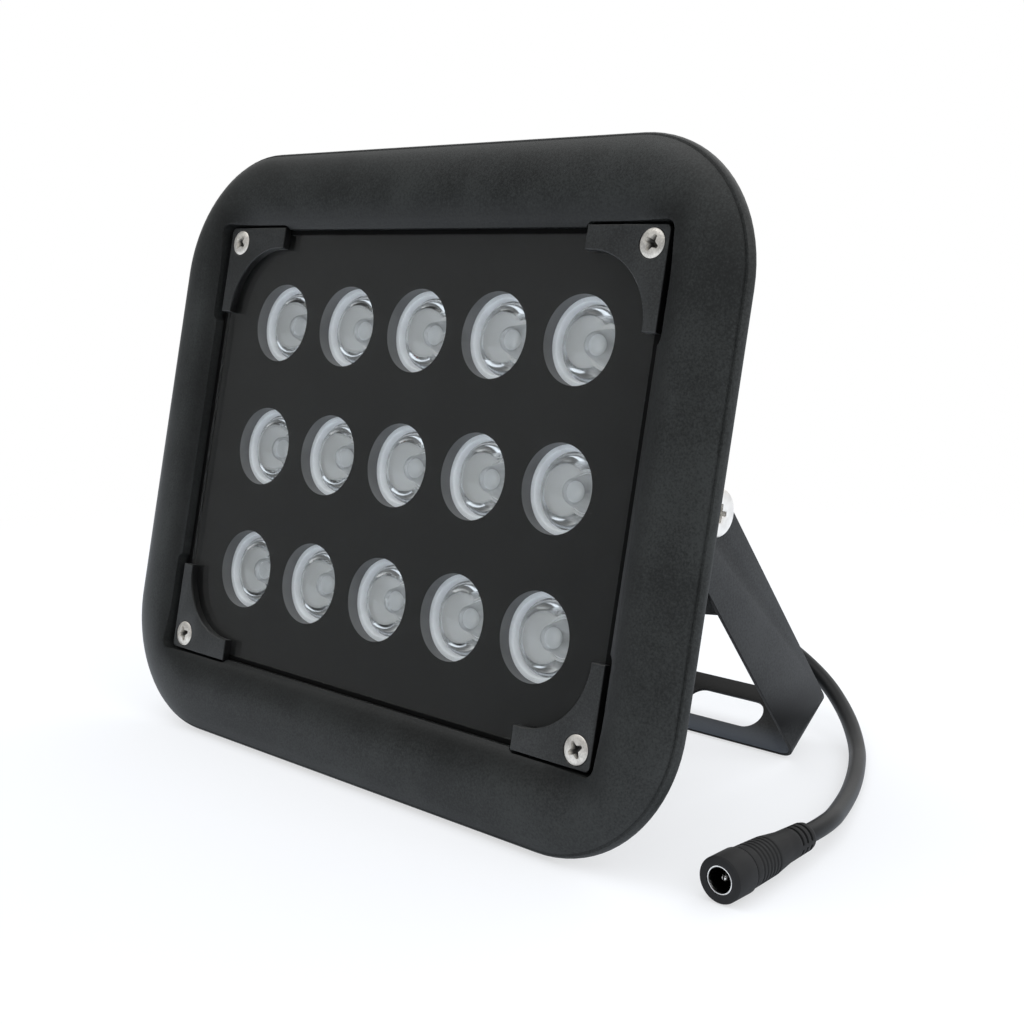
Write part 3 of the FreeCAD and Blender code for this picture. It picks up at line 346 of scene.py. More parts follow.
def paintStrapLightAndShade(paint, colour):
    # painted light and shade: a painted highlight along the foot's front edge, painted shadow at its back, a
    # painted dark reflection in a band above each arm's bend, and painted shade on the faces that look down
    # and forward
    paintedLight = strapPaintedLightAndShade
    height = paint.axis("Z")
    arm = paint.axis("X").size().ramp(*paintedLight["armFrom"])
    band = height.ramp(*paintedLight["bandRise"]) * height.ramp(*paintedLight["bandFall"], 1.0, 0.0) * arm
    back = height.ramp(*paintedLight["backRise"]) * (1.0 - arm)
    front = height.ramp(*paintedLight["frontFall"], 1.0, 0.0) * (1.0 - arm)
    colour = paint.blend(band, colour, paintedLight["band"])
    colour = paint.blend(back * paintedLight["backShare"], colour, paintedLight["dark"])
    colour = paint.blend(front * paintedLight["frontShare"], colour, paintedLight["pale"])
    return paint.blend(paint.facing(paintedLight["darkSide"]), colour, paintedLight["dark"])


# plastics and rubber

plasticLook = {"cloudSize": 9.0, "cloudSeed": 1.7, "tintFrom": (0.25, 0.75), "palest": 1.25,
               "glossLess": 0.05, "glossGrain": 0.1, "bump": 0.5}


def mouldedPlastic(name, base, rough, grain=0.35, depth=0.012, coat=0.0, shine=0.3):
    look = plasticLook
    plastic = Finish(name)
    fine = plastic.noise(grain)
    cloud = plastic.noise(look["cloudSize"], seed=look["cloudSeed"])
    colour = plastic.blend(cloud.ramp(*look["tintFrom"]), base, scaled(base, look["palest"]))
    return plastic.finish(plastic.principled({
        "Base Color": colour, "Roughness": rough - look["glossLess"] + fine * look["glossGrain"],
        "Specular IOR Level": shine, "Coat Weight": coat,
        "Normal": plastic.bump(fine, depth, look["bump"])}))


# bright plating with faint turning marks and handling haze

metalLook = {"grain": 0.5, "hazeSize": 2.4, "hazeSeed": 5.0, "glossHaze": 0.12, "bumpDepth": 0.006,
             "bump": 0.4, "hazeFrom": (0.3, 0.75), "hazeShare": 0.86, "mottleFrom": (0.35, 0.65),
             "mottleShare": 0.7, "recessShadeShare": 0.07}


def platingNoise(metal):
    look = metalLook
    return metal.noise(look["grain"], 3.0, 0.6), metal.noise(look["hazeSize"], seed=look["hazeSeed"])


def platedMetal(name, base, rough):
    look = metalLook
    metal = Finish(name)
    fine, haze = platingNoise(metal)
    colour = metal.blend(haze.ramp(*look["hazeFrom"]), base, scaled(base, look["hazeShare"]))
    return metal.finish(metal.principled({
        "Base Color": colour, "Metallic": 1.0, "Roughness": rough + haze * look["glossHaze"],
        "Normal": metal.bump(fine, look["bumpDepth"], look["bump"])}))


def metalWithPaintedRecessShade(name, base, rough, depth, deep, metallic=1.0):
    # painted shade: goes dark where the depth, in metres, passes from the first value to the second
    look = metalLook
    metal = Finish(name)
    fine, haze = platingNoise(metal)
    mottle = (haze * 0.5 + fine * 0.5).ramp(*look["mottleFrom"])
    colour = metal.blend(mottle, scaled(base, look["mottleShare"]), base)
    colour = metal.blend(depth(metal).ramp(*deep), colour, scaled(base, look["recessShadeShare"]))
    return metal.finish(metal.principled({
        "Base Color": colour, "Metallic": metallic, "Roughness": rough + haze * look["glossHaze"],
        "Normal": metal.bump(fine, look["bumpDepth"], look["bump"])}))


# depths into the screws' cross recesses and the socket's barrel, where painted shade darkens the plating
def belowClipFront(metal):
    return metal.levelBelow(stance["clipFront"])


def insideSocketFace(metal):
    return metal.axis("Y") - stance["socketFace"] * millimetre


# clear and frosted pieces

paneLook = {"tint": (0.97, 0.99, 0.985), "index": 1.5, "shade": (0.92, 0.93, 0.93), "smudgeSize": 18.0,
            "smudgeSeed": 2.2, "smudgeFrom": (0.45, 0.8), "smudgeRough": 0.01}


def paneGlass():
    look = paneLook
    glass = Finish("paneGlass")
    smudge = glass.noise(look["smudgeSize"], 3.0, 0.55, seed=look["smudgeSeed"])
    return glass.lettingLightOn(glass.principled({
        "Base Color": look["tint"], "Roughness": smudge.ramp(*look["smudgeFrom"]) * look["smudgeRough"],
        "IOR": look["index"], "Transmission Weight": 1.0}), look["shade"])


lensLook = {"tint": (0.97, 0.98, 1.0), "index": 1.49, "rough": 0.01, "grain": 1.6,
            # the outer wall turns faintly frosted this far below the ring, in millimetres
            "wallBelow": 2.0, "wallOver": 1.5, "wallRough": 0.03, "wallGrain": 0.06,
            # the hollow over the chip is frosted and a little milky
            "hollowRough": 0.3, "hollowMilk": 0.42, "milk": (0.93, 0.95, 0.97), "milkRough": 0.5}


def lensPlastic():
    look = lensLook
    lens = Finish("lensClear")
    below = lens.levelBelow(stance["boardFront"] + stance["lensTall"] - look["wallBelow"])
    wall = below.ramp(0.0, look["wallOver"] * millimetre)
    hollow = lens.add("ShaderNodeAttribute", {"attribute_name": "hollow"}, output="Fac")
    fine = lens.noise(look["grain"])
    rough = look["rough"] + wall * (look["wallRough"] + fine * look["wallGrain"])
    rough = rough + hollow * look["hollowRough"]
    clear = lens.principled({"Base Color": look["tint"], "Roughness": rough, "IOR": look["index"],
                             "Transmission Weight": 1.0})
    milky = lens.principled({"Base Color": look["milk"], "Roughness": look["milkRough"]})
    return lens.lettingLightOn(lens.add("ShaderNodeMixShader", None,
                                        {0: hollow * look["hollowMilk"], 1: clear, 2: milky}))


ringLook = {"base": (0.94, 0.96, 1.0), "rough": 0.35, "passing": 0.6, "shine": 0.4, "grain": 0.5,
            "cloudSize": 5.0, "cloudSeed": 1.7, "cloudFrom": (0.3, 0.7), "darkest": 0.9, "glossGrain": 0.1,
            "bumpDepth": 0.01, "bump": 0.5}


def frostedRing():
    # lets part of the light on to what lies behind
    look = ringLook
    ring = Finish("lensRingFrosted")
    fine = ring.noise(look["grain"], 2.0, 0.6)
    cloud = ring.noise(look["cloudSize"], seed=look["cloudSeed"])
    colour = ring.blend(cloud.ramp(*look["cloudFrom"]), scaled(look["base"], look["darkest"]), look["base"])
    return ring.lettingLightOn(ring.principled({
        "Base Color": colour, "Roughness": look["rough"] + fine * look["glossGrain"],
        "Specular IOR Level": look["shine"],
        "Normal": ring.bump(fine, look["bumpDepth"], look["bump"])}), share=look["passing"])


finishes = {
    "casting": paintedMetal("blackCasting", (0.0190, 0.0208, 0.0204), rough=0.43, grain=0.55, depth=0.03,
                            shine=0.24, paintedLight=paintBezelShade),
    "clip": paintedMetal("clipPaint", (0.0225, 0.0240, 0.0240), rough=0.42, grain=0.45, depth=0.025,
                         shine=0.34, paintedLight=paintClipShade),
    "strap": paintedMetal("strapPaint", (0.0212, 0.0224, 0.0232), rough=0.42, grain=0.6, depth=0.03,
                          shine=0.22, paintedLight=paintStrapLightAndShade),
    "pane": paneGlass(),
    "lens": lensPlastic(),
    "lensRing": frostedRing(),
    "plate": mouldedPlastic("lensPlateBlack", (0.006, 0.006, 0.006), 0.6),
    "holeWall": mouldedPlastic("holeWallGrey", (0.14, 0.141, 0.145), 0.5),
    "seal": mouldedPlastic("sealRubber", (0.02, 0.02, 0.02), 0.75),
    "bead": mouldedPlastic("beadRubber", (0.003, 0.003, 0.003), 0.75, shine=0.05),
    "screw": platedMetal("screwPlating", (0.86, 0.845, 0.81), 0.22),
    "clipScrew": metalWithPaintedRecessShade("clipScrewPlating", (0.82, 0.79, 0.73), 0.34, depth=belowClipFront,
                               deep=(0.0, 0.0009), metallic=0.65),
    "sleeve": metalWithPaintedRecessShade("sleeveNickel", (0.85, 0.84, 0.82), 0.2, depth=insideSocketFace,
                            deep=(0.0001, 0.0008)),
    "bolt": platedMetal("boltPlating", (0.82, 0.8, 0.765), 0.33),
    "contact": platedMetal("contactNickel", (0.78, 0.77, 0.75), 0.16),
    "chip": mouldedPlastic("chipSilicone", (0.8, 0.8, 0.77), 0.3, coat=0.3),
    "board": mouldedPlastic("boardLacquer", (0.87, 0.87, 0.85), 0.35),
    "driver": mouldedPlastic("driverLacquer", (0.02, 0.16, 0.06), 0.35),
    "ferrite": mouldedPlastic("chokeFerrite", (0.05, 0.05, 0.052), 0.6),
    "can": mouldedPlastic("capacitorSleeve", (0.02, 0.025, 0.07), 0.3),
    "terminal": mouldedPlastic("terminalGreen", (0.03, 0.2, 0.06), 0.45),
    "redWire": mouldedPlastic("redInsulation", (0.45, 0.02, 0.02), 0.4),
    "blackWire": mouldedPlastic("blackInsulation", (0.02, 0.02, 0.02), 0.4),
    "gland": mouldedPlastic("glandNylon", (0.022, 0.022, 0.022), 0.48),
    "jacket": mouldedPlastic("leadJacket", (0.0085, 0.0092, 0.0100), 0.4, shine=0.16),
    "socket": mouldedPlastic("socketMoulding", (0.0195, 0.0198, 0.0205), 0.55, grain=0.25, depth=0.02,
                             shine=0.08),
}
print("finishes made")


# housing, clips, bracket and gland keep the solids' form with eased edges, whose widths are in millimetres

softCopy(["housing"], "housingCasting", "head", finishes["casting"], width=0.3)
for corner in ("top_left", "top_right", "bottom_left", "bottom_right"):
    softCopy(["clip_" + corner], "cornerClip_" + corner, "head", finishes["clip"], segments=3)
softCopy(["bracket"], "bracketStrap", "bracket", finishes["strap"], width=0.35, segments=3)
softCopy(["gland_nut"], "glandNut", "head", finishes["gland"], width=0.3)
softCopy(["gland_body"], "glandBody", "head", finishes["gland"], width=0.2)
lensPlate = softCopy(["lens_plate"], "lensPlate", "head", finishes["plate"], width=0.0,
                     setBack=0.04)
lensPlate.data.materials.append(finishes["holeWall"])
outward = (onHead(0, 1, 0) - onHead(0, 0, 0)).normalized()
for face in lensPlate.data.polygons:  # the walls of the windows are grey
    face.material_index = 1 if abs(face.normal.dot(outward)) < 0.5 else 0
for side in ("right", "left"):
    softCopy(["pivot_bolt_" + side], "pivotBolt_" + side, "head", finishes["bolt"], width=0.15)
    softCopy(["flat_washer_" + side], "flatWasher_" + side, "head", finishes["bolt"],
             width=0.12)
softCopy(["jack_body"], "socketMoulding", "bracket", finishes["socket"], width=0.12)
softCopy(["jack_sleeve"], "socketSleeve", "bracket", finishes["sleeve"], width=0.04)
softCopy(["jack_pin"], "socketPin", "bracket", finishes["contact"], width=0.05)
print("castings, clips and strap made")

# black sealing bead laid in the gap round the pane, along its four straight sides

bead = {"pane": (79.25, 59.45), "recess": (80.95, 60.65), "reach": (63.5, 43.5), "levels": (27.0, 33.8),
        "lip": (78.15, 34.12, 34.3)}  # on the right the bead is pressed over the pane's edge


def sealingBead():
    paneX, paneZ = bead["pane"]
    recessX, recessZ = bead["recess"]
    reachX, reachZ = bead["reach"]
    low, high = bead["levels"]
    lipX, lipLow, lipHigh = bead["lip"]
    strips = [((lipX, recessX), (lipLow, lipHigh), (-reachZ, reachZ))]
    for side in (-1, 1):
        strips.append(((-reachX, reachX), (low, high), (side * paneZ, side * recessZ)))
        strips.append(((side * paneX, side * recessX), (low, high), (-reachZ, reachZ)))
    shape = bmesh.new()
    for across, level, up in strips:
        made = bmesh.ops.create_cube(shape, size=1.0)
        for vertex in made["verts"]:
            x, y, z = (int(value > 0) for value in vertex.co)
            vertex.co = onHead(across[x], level[1 - y], up[z])
    bmesh.ops.recalc_face_normals(shape, faces=shape.faces)
    data = bpy.data.meshes.new("paneBead")
    shape.to_mesh(data)
    shape.free()
    data.materials.append(finishes["bead"])
    return addPiece("paneBead", data, "head")


sealingBead()

# these solids are shown as they are, each in its own finish

nodeFinish = {
    "front_glass": "pane", "gasket": "seal", "light_sources": "chip", "light_board": "board",
    "driver_board": "driver", "choke": "ferrite", "capacitor": "can", "terminal_block": "terminal",
    "supply_lead_red": "redWire", "light_lead_red": "redWire", "supply_lead_black": "blackWire",
    "light_lead_black": "blackWire", "gland_seal": "seal", "cable_tail": "jacket",
    "friction_washer_right": "seal", "friction_washer_left": "seal",
    "board_screws": "screw", "driver_screws": "screw",
}
for node, key in nodeFinish.items():
    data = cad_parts[node].data
    data.materials.clear()
    data.materials.append(finishes[key])


# Geometry Nodes: one part set out in rows and columns

def gridTree(name):
    tree = bpy.data.node_groups.new(name, "GeometryNodeTree")
    face = tree.interface
    for label, kind, start in (("Part", "NodeSocketObject", None), ("Columns", "NodeSocketInt", 2),
                               ("Rows", "NodeSocketInt", 2), ("Pitch Across", "NodeSocketFloat", 0.01),
                               ("Pitch Up", "NodeSocketFloat", 0.01), ("Turn", "NodeSocketFloat", 0.0),
                               ("Seed", "NodeSocketInt", 0), ("Finish", "NodeSocketMaterial", None)):
        socket = face.new_socket(label, in_out="INPUT", socket_type=kind)
        if start is not None:
            socket.default_value = start
    face.new_socket("Geometry", in_out="OUTPUT", socket_type="NodeSocketGeometry")
    made = {}

    def step(key, kind, settings=None, links=None, values=None):
        node = tree.nodes.new(kind)
        for field, value in (settings or {}).items():
            setattr(node, field, value)
        for socket, (source, output) in (links or {}).items():
            tree.links.new(made[source].outputs[output], node.inputs[socket])
        for socket, value in (values or {}).items():
            node.inputs[socket].default_value = value
        made[key] = node

    def maths(key, operation, links, values=None):
        step(key, "ShaderNodeMath", {"operation": operation}, links, values)

    step("in", "NodeGroupInput")
    maths("lessX", "SUBTRACT", {0: ("in", "Columns")}, {1: 1.0})
    maths("lessY", "SUBTRACT", {0: ("in", "Rows")}, {1: 1.0})
    maths("wide", "MULTIPLY", {0: ("lessX", 0), 1: ("in", "Pitch Across")})
    maths("tall", "MULTIPLY", {0: ("lessY", 0), 1: ("in", "Pitch Up")})
    step("grid", "GeometryNodeMeshGrid", None,
         {"Size X": ("wide", 0), "Size Y": ("tall", 0), "Vertices X": ("in", "Columns"),
          "Vertices Y": ("in", "Rows")})
    step("part", "GeometryNodeObjectInfo", None, {"Object": ("in", "Part")})
    maths("least", "MULTIPLY", {0: ("in", "Turn")}, {1: -1.0})
    step("random", "FunctionNodeRandomValue", {"data_type": "FLOAT"},
         {2: ("least", 0), 3: ("in", "Turn"), "Seed": ("in", "Seed")})
    step("turn", "ShaderNodeCombineXYZ", None, {"Z": ("random", 1)})
    step("put", "GeometryNodeInstanceOnPoints", None,
         {"Points": ("grid", "Mesh"), "Instance": ("part", "Geometry"), "Rotation": ("turn", 0)})
    step("real", "GeometryNodeRealizeInstances", None, {"Geometry": ("put", 0)})
    step("coat", "GeometryNodeSetMaterial", None, {"Geometry": ("real", 0), "Material": ("in", "Finish")})
    step("out", "NodeGroupOutput", None, {"Geometry": ("coat", 0)})
    return tree


rowsAndColumns = gridTree("rowsAndColumns")


def setOut(name, partData, level, nodes, inputs):
    part = bpy.data.objects.new(name + "Part", partData)
    bpy.context.scene.collection.objects.link(part)
    holder = bpy.data.objects.new(name + "Grid", bpy.data.meshes.new(name + "Grid"))
    bpy.context.scene.collection.objects.link(holder)
    grid = holder.modifiers.new("grid", "NODES")
    grid.node_group = rowsAndColumns
    inputs = {"Part": part, **inputs}
    for item in rowsAndColumns.interface.items_tree:
        if item.in_out == "INPUT" and item.name in inputs:
            grid[item.identifier] = inputs[item.name]
    graph = bpy.context.evaluated_depsgraph_get()
    data = bpy.data.meshes.new_from_object(holder.evaluated_get(graph), depsgraph=graph)
    data.name = name
    # the grid lies in X and Y and its parts point up: stand it on the head, facing forward
    data.transform(headPlace @ Matrix.Translation((0.0, -level * millimetre, 0.0))
                   @ Matrix.Rotation(math.radians(90.0), 4, "X"))
    smoothByAngle(data, meshing["turnedSmooth"])
    bpy.data.objects.remove(holder)
    bpy.data.objects.remove(part)
    return addPiece(name, data, "head", nodes)


# lenses; heights are from the front of the ring, in millimetres

lensShape = {
    "domeRadius": 9.0, "domeBase": -1.5, "domeTop": 1.7, "domeRim": 0.1,
    "grooveBottom": -1.7, "grooveWide": 0.2,
    "coneTop": 9.6, "coneFoot": 4.2, "coneBow": 0.9, "coneInside": 0.02, "steps": 14,
    "cavityFoot": 3.4, "cavityTop": 2.7, "cavityDeep": 6.2, "cavityDome": 0.6, "cavitySteps": 8,
    "hollowBelow": -3.0, "hollowSpare": 0.1,
    "ringInner": 9.65, "ringRadius": 11.7, "ringThick": 2.4, "ringLip": 0.35, "ringFace": -0.03,
    "columns": 5, "rows": 3, "pitchAcross": 27.5, "pitchUp": 34.85,
}


def opticProfile():
    shape = lensShape
    dome, base, top, foot = shape["domeRadius"], shape["domeBase"], shape["domeTop"], -stance["lensTall"]
    rise = top - base
    ball = (dome * dome + rise * rise) / (2.0 * rise)
    profile = []
    for step in range(shape["steps"] + 1):
        radius = dome * step / shape["steps"]
        profile.append((radius, math.sqrt(ball * ball - radius * radius) - ball + top))
    groove, wide, thick = shape["grooveBottom"], shape["ringInner"] + shape["grooveWide"], shape["ringThick"]
    profile += [(dome + shape["domeRim"], groove), (wide, groove), (wide, -thick)]
    for step in range(shape["steps"] + 1):  # bowed outer wall that throws the light forward
        part = step / shape["steps"]
        bow = shape["coneBow"] * math.sin(math.pi * part)
        radius = shape["coneTop"] + (shape["coneFoot"] - shape["coneTop"]) * part + bow
        profile.append((radius - shape["coneInside"], -thick + (foot + thick) * part))
    profile.append((shape["cavityFoot"], foot))
    wide, high = shape["cavityTop"], foot + shape["cavityDeep"]
    for step in range(shape["cavitySteps"] + 1):  # domed hollow over the chip
        angle = step * math.pi / 2.0 / (shape["cavitySteps"] + 1)
        profile.append((wide * math.cos(angle), high - wide * shape["cavityDome"] * (1.0 - math.sin(angle))))
    profile.append((0.0, high))
    return profile


def ringProfile():
    shape = lensShape
    inner, outer = shape["ringInner"], shape["ringRadius"]
    thick, face = shape["ringThick"], shape["ringFace"]
    lip, foot = inner - shape["ringLip"], shape["grooveBottom"] + 0.02
    return [(lip, foot), (inner - 0.1, -shape["ringLip"]), (inner + 0.15, face), (outer - 0.2, face),
            (outer, -0.25), (outer, -thick), (lip, -thick), (lip, foot)]


def buildLenses():
    shape = lensShape
    level = stance["boardFront"] + stance["lensTall"]
    grid = {"Columns": shape["columns"], "Rows": shape["rows"],
            "Pitch Across": shape["pitchAcross"] * millimetre, "Pitch Up": shape["pitchUp"] * millimetre}
    optic = turned("lens", opticProfile())
    hollow = optic.attributes.new("hollow", "FLOAT", "POINT")
    widest = shape["cavityFoot"] + shape["hollowSpare"]
    for vertex, mark in zip(optic.vertices, hollow.data):
        radius = math.hypot(vertex.co.x, vertex.co.y) / millimetre
        inside = radius < widest and vertex.co.z < shape["hollowBelow"] * millimetre
        mark.value = 1.0 if inside else 0.0
    setOut("lensSet", optic, level, ["lens_%02d" % number for number in range(1, 16)],
           {"Finish": finishes["lens"], **grid})
    setOut("lensRings", turned("lensRing", ringProfile()), level, [],
           {"Finish": finishes["lensRing"], **grid})


buildLenses()


# screws of the clips, in millimetres; a dished head with a four-armed recess whose walls lean in

screwShape = {
    "radius": 3.45, "rise": 0.4, "shank": 2.0, "shankTop": -1.9, "shankFoot": -3.2, "steps": 48,
    "armLong": 2.35, "armWide": 0.58, "corner": 1.5,
    # end of one arm, as shares of its length and half width
    "armEnd": ((0.94, -0.8), (1.0, -0.3), (1.0, 0.3), (0.94, 0.8)),
    # the recess narrows downwards: share of its outline and height
    "levels": ((1.0, 1.0), (0.8, -0.35), (0.35, -1.5)),
    "across": 150.0, "up": 113.6, "turn": 0.8, "seed": 4,
}


def crossOutline():
    shape = screwShape
    long, wide = shape["armLong"], shape["armWide"]
    corner = wide * shape["corner"]
    arm = [(long * along, wide * across) for along, across in shape["armEnd"]] + [(corner, corner)]
    outline = []
    for quarter in range(4):
        angle = quarter * math.pi / 2.0
        for x, y in arm:
            outline.append((x * math.cos(angle) - y * math.sin(angle),
                            x * math.sin(angle) + y * math.cos(angle)))
    return outline


def crossCutter():
    outline = crossOutline()
    cutter = bmesh.new()
    rings = [[cutter.verts.new((x * share, y * share, height)) for x, y in outline]
             for share, height in screwShape["levels"]]
    for first, second in zip(rings, rings[1:]):
        for index in range(len(outline)):
            follow = (index + 1) % len(outline)
            cutter.faces.new((first[index], first[follow], second[follow], second[index]))
    cutter.faces.new(rings[0])
    cutter.faces.new(rings[-1][::-1])
    bmesh.ops.recalc_face_normals(cutter, faces=cutter.faces)
    data = bpy.data.meshes.new("crossCutter")
    cutter.to_mesh(data)
    cutter.free()
    data.transform(Matrix.Scale(millimetre, 4))
    return data


def crossScrew():
    shape = screwShape
    rim, rise, shank = shape["radius"], shape["rise"], shape["shank"]
    cutData = crossCutter()
    foot = shape["shankFoot"]
    profile = [(0.0, rise), (rim * 0.35, rise - 0.03), (rim * 0.7, rise - 0.13), (rim - 0.12, 0.03),
               (rim, -0.08), (rim - 0.2, -0.3), (shank, shape["shankTop"]), (shank, foot), (0.0, foot)]
    head = turned("screwHead", profile, shape["steps"])
    body = bpy.data.objects.new("screwHead", head)
    cut = bpy.data.objects.new("crossCutter", cutData)
    for item in (body, cut):
        bpy.context.scene.collection.objects.link(item)
    carve = body.modifiers.new("cross", "BOOLEAN")
    carve.operation = "DIFFERENCE"
    carve.object = cut
    carve.solver = "EXACT"
    settle(body)
    made = body.data
    bpy.data.objects.remove(body)
    bpy.data.objects.remove(cut)
    return made


setOut("clipScrews", crossScrew(), stance["clipFront"], ["clip_screws"],
       {"Columns": 2, "Rows": 2, "Pitch Across": screwShape["across"] * millimetre,
        "Pitch Up": screwShape["up"] * millimetre, "Turn": screwShape["turn"], "Seed": screwShape["seed"],
        "Finish": finishes["clipScrew"]})
print("lenses and screws set out")


# the loose lead: one smooth line from the gland to the socket, in metres

lead = {
    "diameter": 0.0045,
    "sides": 20,
    "fineness": 10,
    "route": [(0.0, 0.01891, 0.04845), (0.0, 0.036, 0.0447), (0.008, 0.05586, 0.0375),
              (0.022, 0.07086, 0.0305), (0.04, 0.07936, 0.0213), (0.057, 0.07856, 0.0126),
              (0.0708, 0.06966, 0.0063), (0.0824, 0.05646, 0.0023), (0.0916, 0.04086, 0.00227),
              (0.0989, 0.02586, 0.00227), (0.1054, 0.01036, 0.0035), (0.11089, -0.0041, 0.00525),
              (0.11107, -0.0141, 0.00525)],
    "settled": (0.0627, 0.052, 0.037),
}


def smoothLine(points):
    curve = bpy.data.curves.new("leadLine", "CURVE")
    curve.dimensions = "3D"
    curve.resolution_u = lead["fineness"]
    spline = curve.splines.new("NURBS")
    spline.points.add(len(points) - 1)
    for control, place in zip(spline.points, points):
        control.co = (*place, 1.0)
    spline.order_u = 3
    spline.use_endpoint_u = True
    holder = bpy.data.objects.new("leadLine", curve)
    bpy.context.scene.collection.objects.link(holder)
    graph = bpy.context.evaluated_depsgraph_get()
    flat = bpy.data.meshes.new_from_object(holder.evaluated_get(graph), depsgraph=graph)
    line = [vertex.co.copy() for vertex in flat.vertices]
    bpy.data.objects.remove(holder)
    bpy.data.meshes.remove(flat)
    return line


def tubeAlong(name, line, radius, sides):
    shape = bmesh.new()
    turns = [math.tau * side / sides for side in range(sides)]
    rings = []
    normal = Vector((0.0, 0.0, 1.0))
    for index, place in enumerate(line):
        ahead = (line[min(index + 1, len(line) - 1)] - line[max(index - 1, 0)]).normalized()
        normal = (normal - ahead * normal.dot(ahead)).normalized()
        across = ahead.cross(normal)
        rings.append([shape.verts.new(place + (normal * math.cos(turn) + across * math.sin(turn)) * radius)
                      for turn in turns])
    for first, second in zip(rings, rings[1:]):
        for side in range(sides):
            follow = (side + 1) % sides
            shape.faces.new((first[side], first[follow], second[follow], second[side]))
    shape.faces.new(rings[0])
    shape.faces.new(rings[-1])
    bmesh.ops.recalc_face_normals(shape, faces=shape.faces)
    data = bpy.data.meshes.new(name)
    shape.to_mesh(data)
    shape.free()
    smoothByAngle(data, meshing["tubeSmooth"])
    return data


leadLine = smoothLine(lead["route"])
leadData = tubeAlong("powerLead", leadLine, lead["diameter"] / 2.0, lead["sides"])
leadData.materials.append(finishes["jacket"])
powerLead = bpy.data.objects.new("powerLead", leadData)
bpy.context.scene.collection.objects.link(powerLead)
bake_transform(powerLead)
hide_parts("cord")


# floor: paper that turns into a white backdrop farther off, in metres, with its patches in millimetres

paper = {"reach": 4.0, "height": -0.0002, "patch": 40.0, "patchShare": 0.4, "pale": (0.885, 0.93, 1.0),
         "dark": (0.865, 0.91, 0.98), "rough": 0.9, "whiteShare": 0.58, "whiteFrom": (0.22, 0.42)}


def buildFloor():
    reach, height = paper["reach"], paper["height"]
    corners = [(-reach, -reach, height), (reach, -reach, height), (reach, reach, height),
               (-reach, reach, height)]
    floorData = bpy.data.meshes.new("floor")
    floorData.from_pydata(corners, [], [(0, 1, 2, 3)])
    floor = bpy.data.objects.new("floor", floorData)
    bpy.context.scene.collection.objects.link(floor)
    sheet = Finish("floorPaper")
    distance = sheet.add("ShaderNodeVectorMath", {"operation": "LENGTH"}, {0: sheet.place()}, output="Value")
    colour = sheet.blend(sheet.noise(paper["patch"]) * paper["patchShare"], paper["pale"], paper["dark"])
    matt = sheet.principled({"Base Color": colour, "Roughness": paper["rough"], "Specular IOR Level": 0.0})
    white = sheet.add("ShaderNodeEmission", None, {"Color": (1.0, 1.0, 1.0), "Strength": 1.0})
    seen = sheet.add("ShaderNodeLightPath", output="Is Camera Ray")
    share = paper["whiteShare"]
    far = (share + distance.ramp(*paper["whiteFrom"]) * (1.0 - share)) * seen
    mixed = sheet.add("ShaderNodeMixShader", None, {0: far, 1: matt, 2: white})
    floorData.materials.append(sheet.finish(mixed))


# light; the camera itself sees a white world

surroundings = {
    # brightness seen in reflections: a dim room in front, a white backdrop behind, a soft light overhead
    "front": 0.13, "frontRange": (0.095, 0.15), "frontFrom": (0.0, 0.5), "frontLift": 0.03,
    "edgeFrom": (0.84, 0.94), "edgeLeast": -0.05,
    "backdrop": 0.9, "backdropFrom": (-0.05, 0.5),
    "overhead": 1.15, "overheadFrom": (0.35, 0.95),
    # brightness seen through clear pieces, and falling on everything
    "frontThrough": 1.0, "overheadThrough": 2.0, "ambient": 1.0,
}
lamps = {  # place and size in metres, power in watts
    "keySoftbox": ((-0.5, -0.4, 1.9), 1.2, 7.0),
    "rightSoftbox": ((1.7, 0.1, 1.2), 1.2, 8.0),
    "rearSoftbox": ((0.2, 1.6, 1.3), 1.2, 4.0),
}
lampTarget = (0.0, 0.0, 0.06)


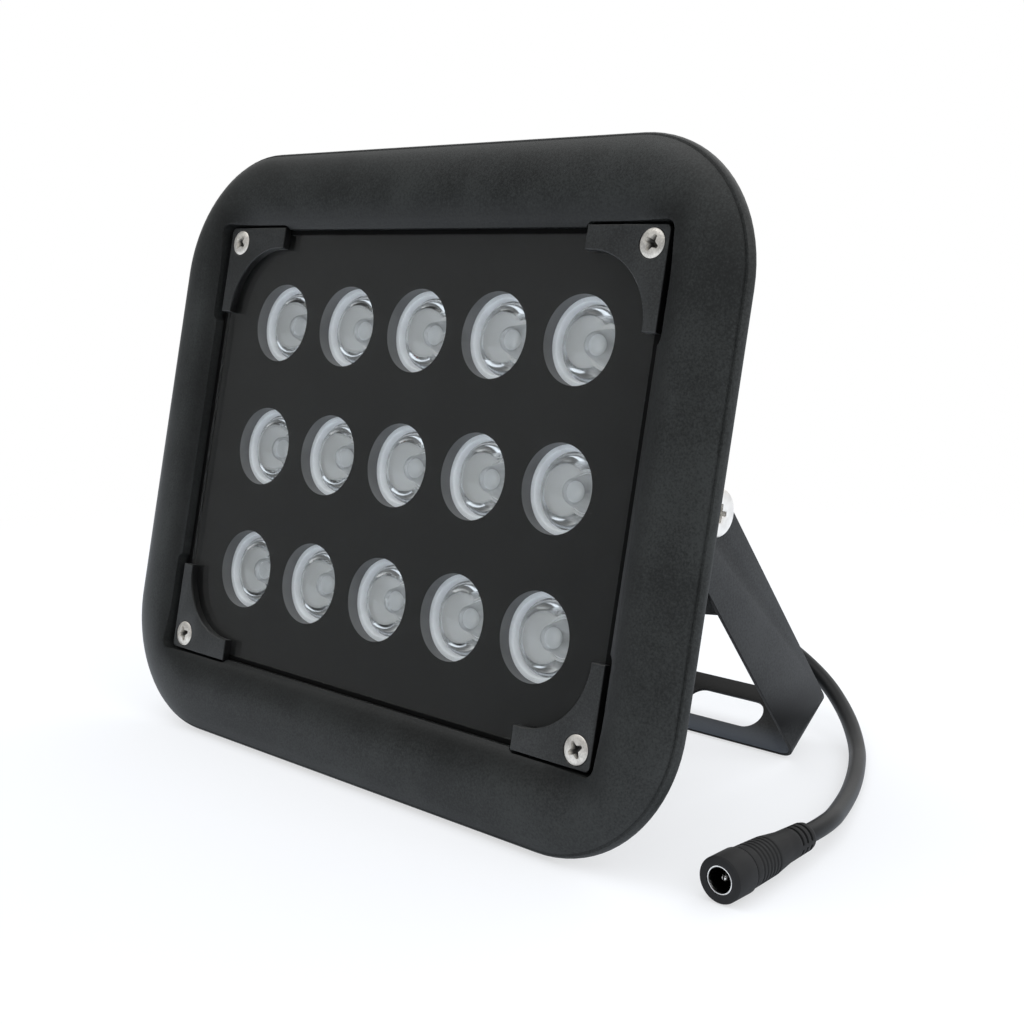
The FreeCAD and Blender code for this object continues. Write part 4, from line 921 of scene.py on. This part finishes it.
def buildWorld():
    room = surroundings
    world = bpy.context.scene.world or bpy.data.worlds.new("studio")
    bpy.context.scene.world = world
    sky = Finish("studio", world)
    seen, shine, through = (sky.add("ShaderNodeLightPath", output=ray)
                            for ray in ("Is Camera Ray", "Is Glossy Ray", "Is Transmission Ray"))
    way = sky.add("ShaderNodeTexCoord", output="Generated")
    across, back, up = (sky.add("ShaderNodeSeparateXYZ", None, {"Vector": way}, output=axis)
                        for axis in "XYZ")
    overhead = up.ramp(*room["overheadFrom"])
    backdrop = back.ramp(*room["backdropFrom"])
    edge = (across / back.lower(room["edgeLeast"])).ramp(*room["edgeFrom"])
    dim = up.ramp(*room["frontFrom"], *room["frontRange"]) + edge * room["frontLift"]
    mirrored = dim + backdrop * (room["backdrop"] - room["front"])
    mirrored = mirrored + overhead * (room["overhead"] - mirrored)
    refracted = room["frontThrough"] + overhead * (room["overheadThrough"] - room["frontThrough"])
    direct = (1.0 - shine) * (1.0 - through) * room["ambient"]
    strength = seen + (1.0 - seen) * (direct + shine * mirrored + (1.0 - shine) * through * refracted)
    sky.finish(sky.add("ShaderNodeBackground", None, {"Color": (1.0, 1.0, 1.0), "Strength": strength}),
               "ShaderNodeOutputWorld")


def buildLamps():
    for name, (place, size, power) in lamps.items():
        lamp = bpy.data.lights.new(name, "AREA")
        lamp.shape = "SQUARE"
        lamp.size = size
        lamp.energy = power
        holder = bpy.data.objects.new(name, lamp)
        holder.location = place
        holder.rotation_mode = "QUATERNION"
        holder.rotation_quaternion = (Vector(lampTarget) - Vector(place)).to_track_quat("-Z", "Y")
        bpy.context.scene.collection.objects.link(holder)


# camera: lens and sensor in millimetres, place in metres

photoView = {
    "lens": 53.88, "sensor": 36.0, "nearest": 0.01, "place": (0.2894, -0.2978, 0.1373),
    "right": (0.7249, 0.6889, 0.0), "up": (-0.1193, 0.1255, 0.9849), "forward": (-0.6785, 0.7139, -0.1731),
}


def buildCamera():
    view = photoView
    camera = bpy.data.cameras.new("photoView")
    camera.lens = view["lens"]
    camera.sensor_width = view["sensor"]
    camera.clip_start = view["nearest"]
    holder = bpy.data.objects.new("photoView", camera)
    axes = Matrix((view["right"], view["up"], -Vector(view["forward"])))
    holder.matrix_world = Matrix.Translation(view["place"]) @ axes.transposed().to_4x4()
    bpy.context.scene.collection.objects.link(holder)
    bpy.context.scene.camera = holder


buildFloor()
buildWorld()
buildLamps()
buildCamera()
bpy.context.scene.view_settings.view_transform = "Standard"
print("stage set")
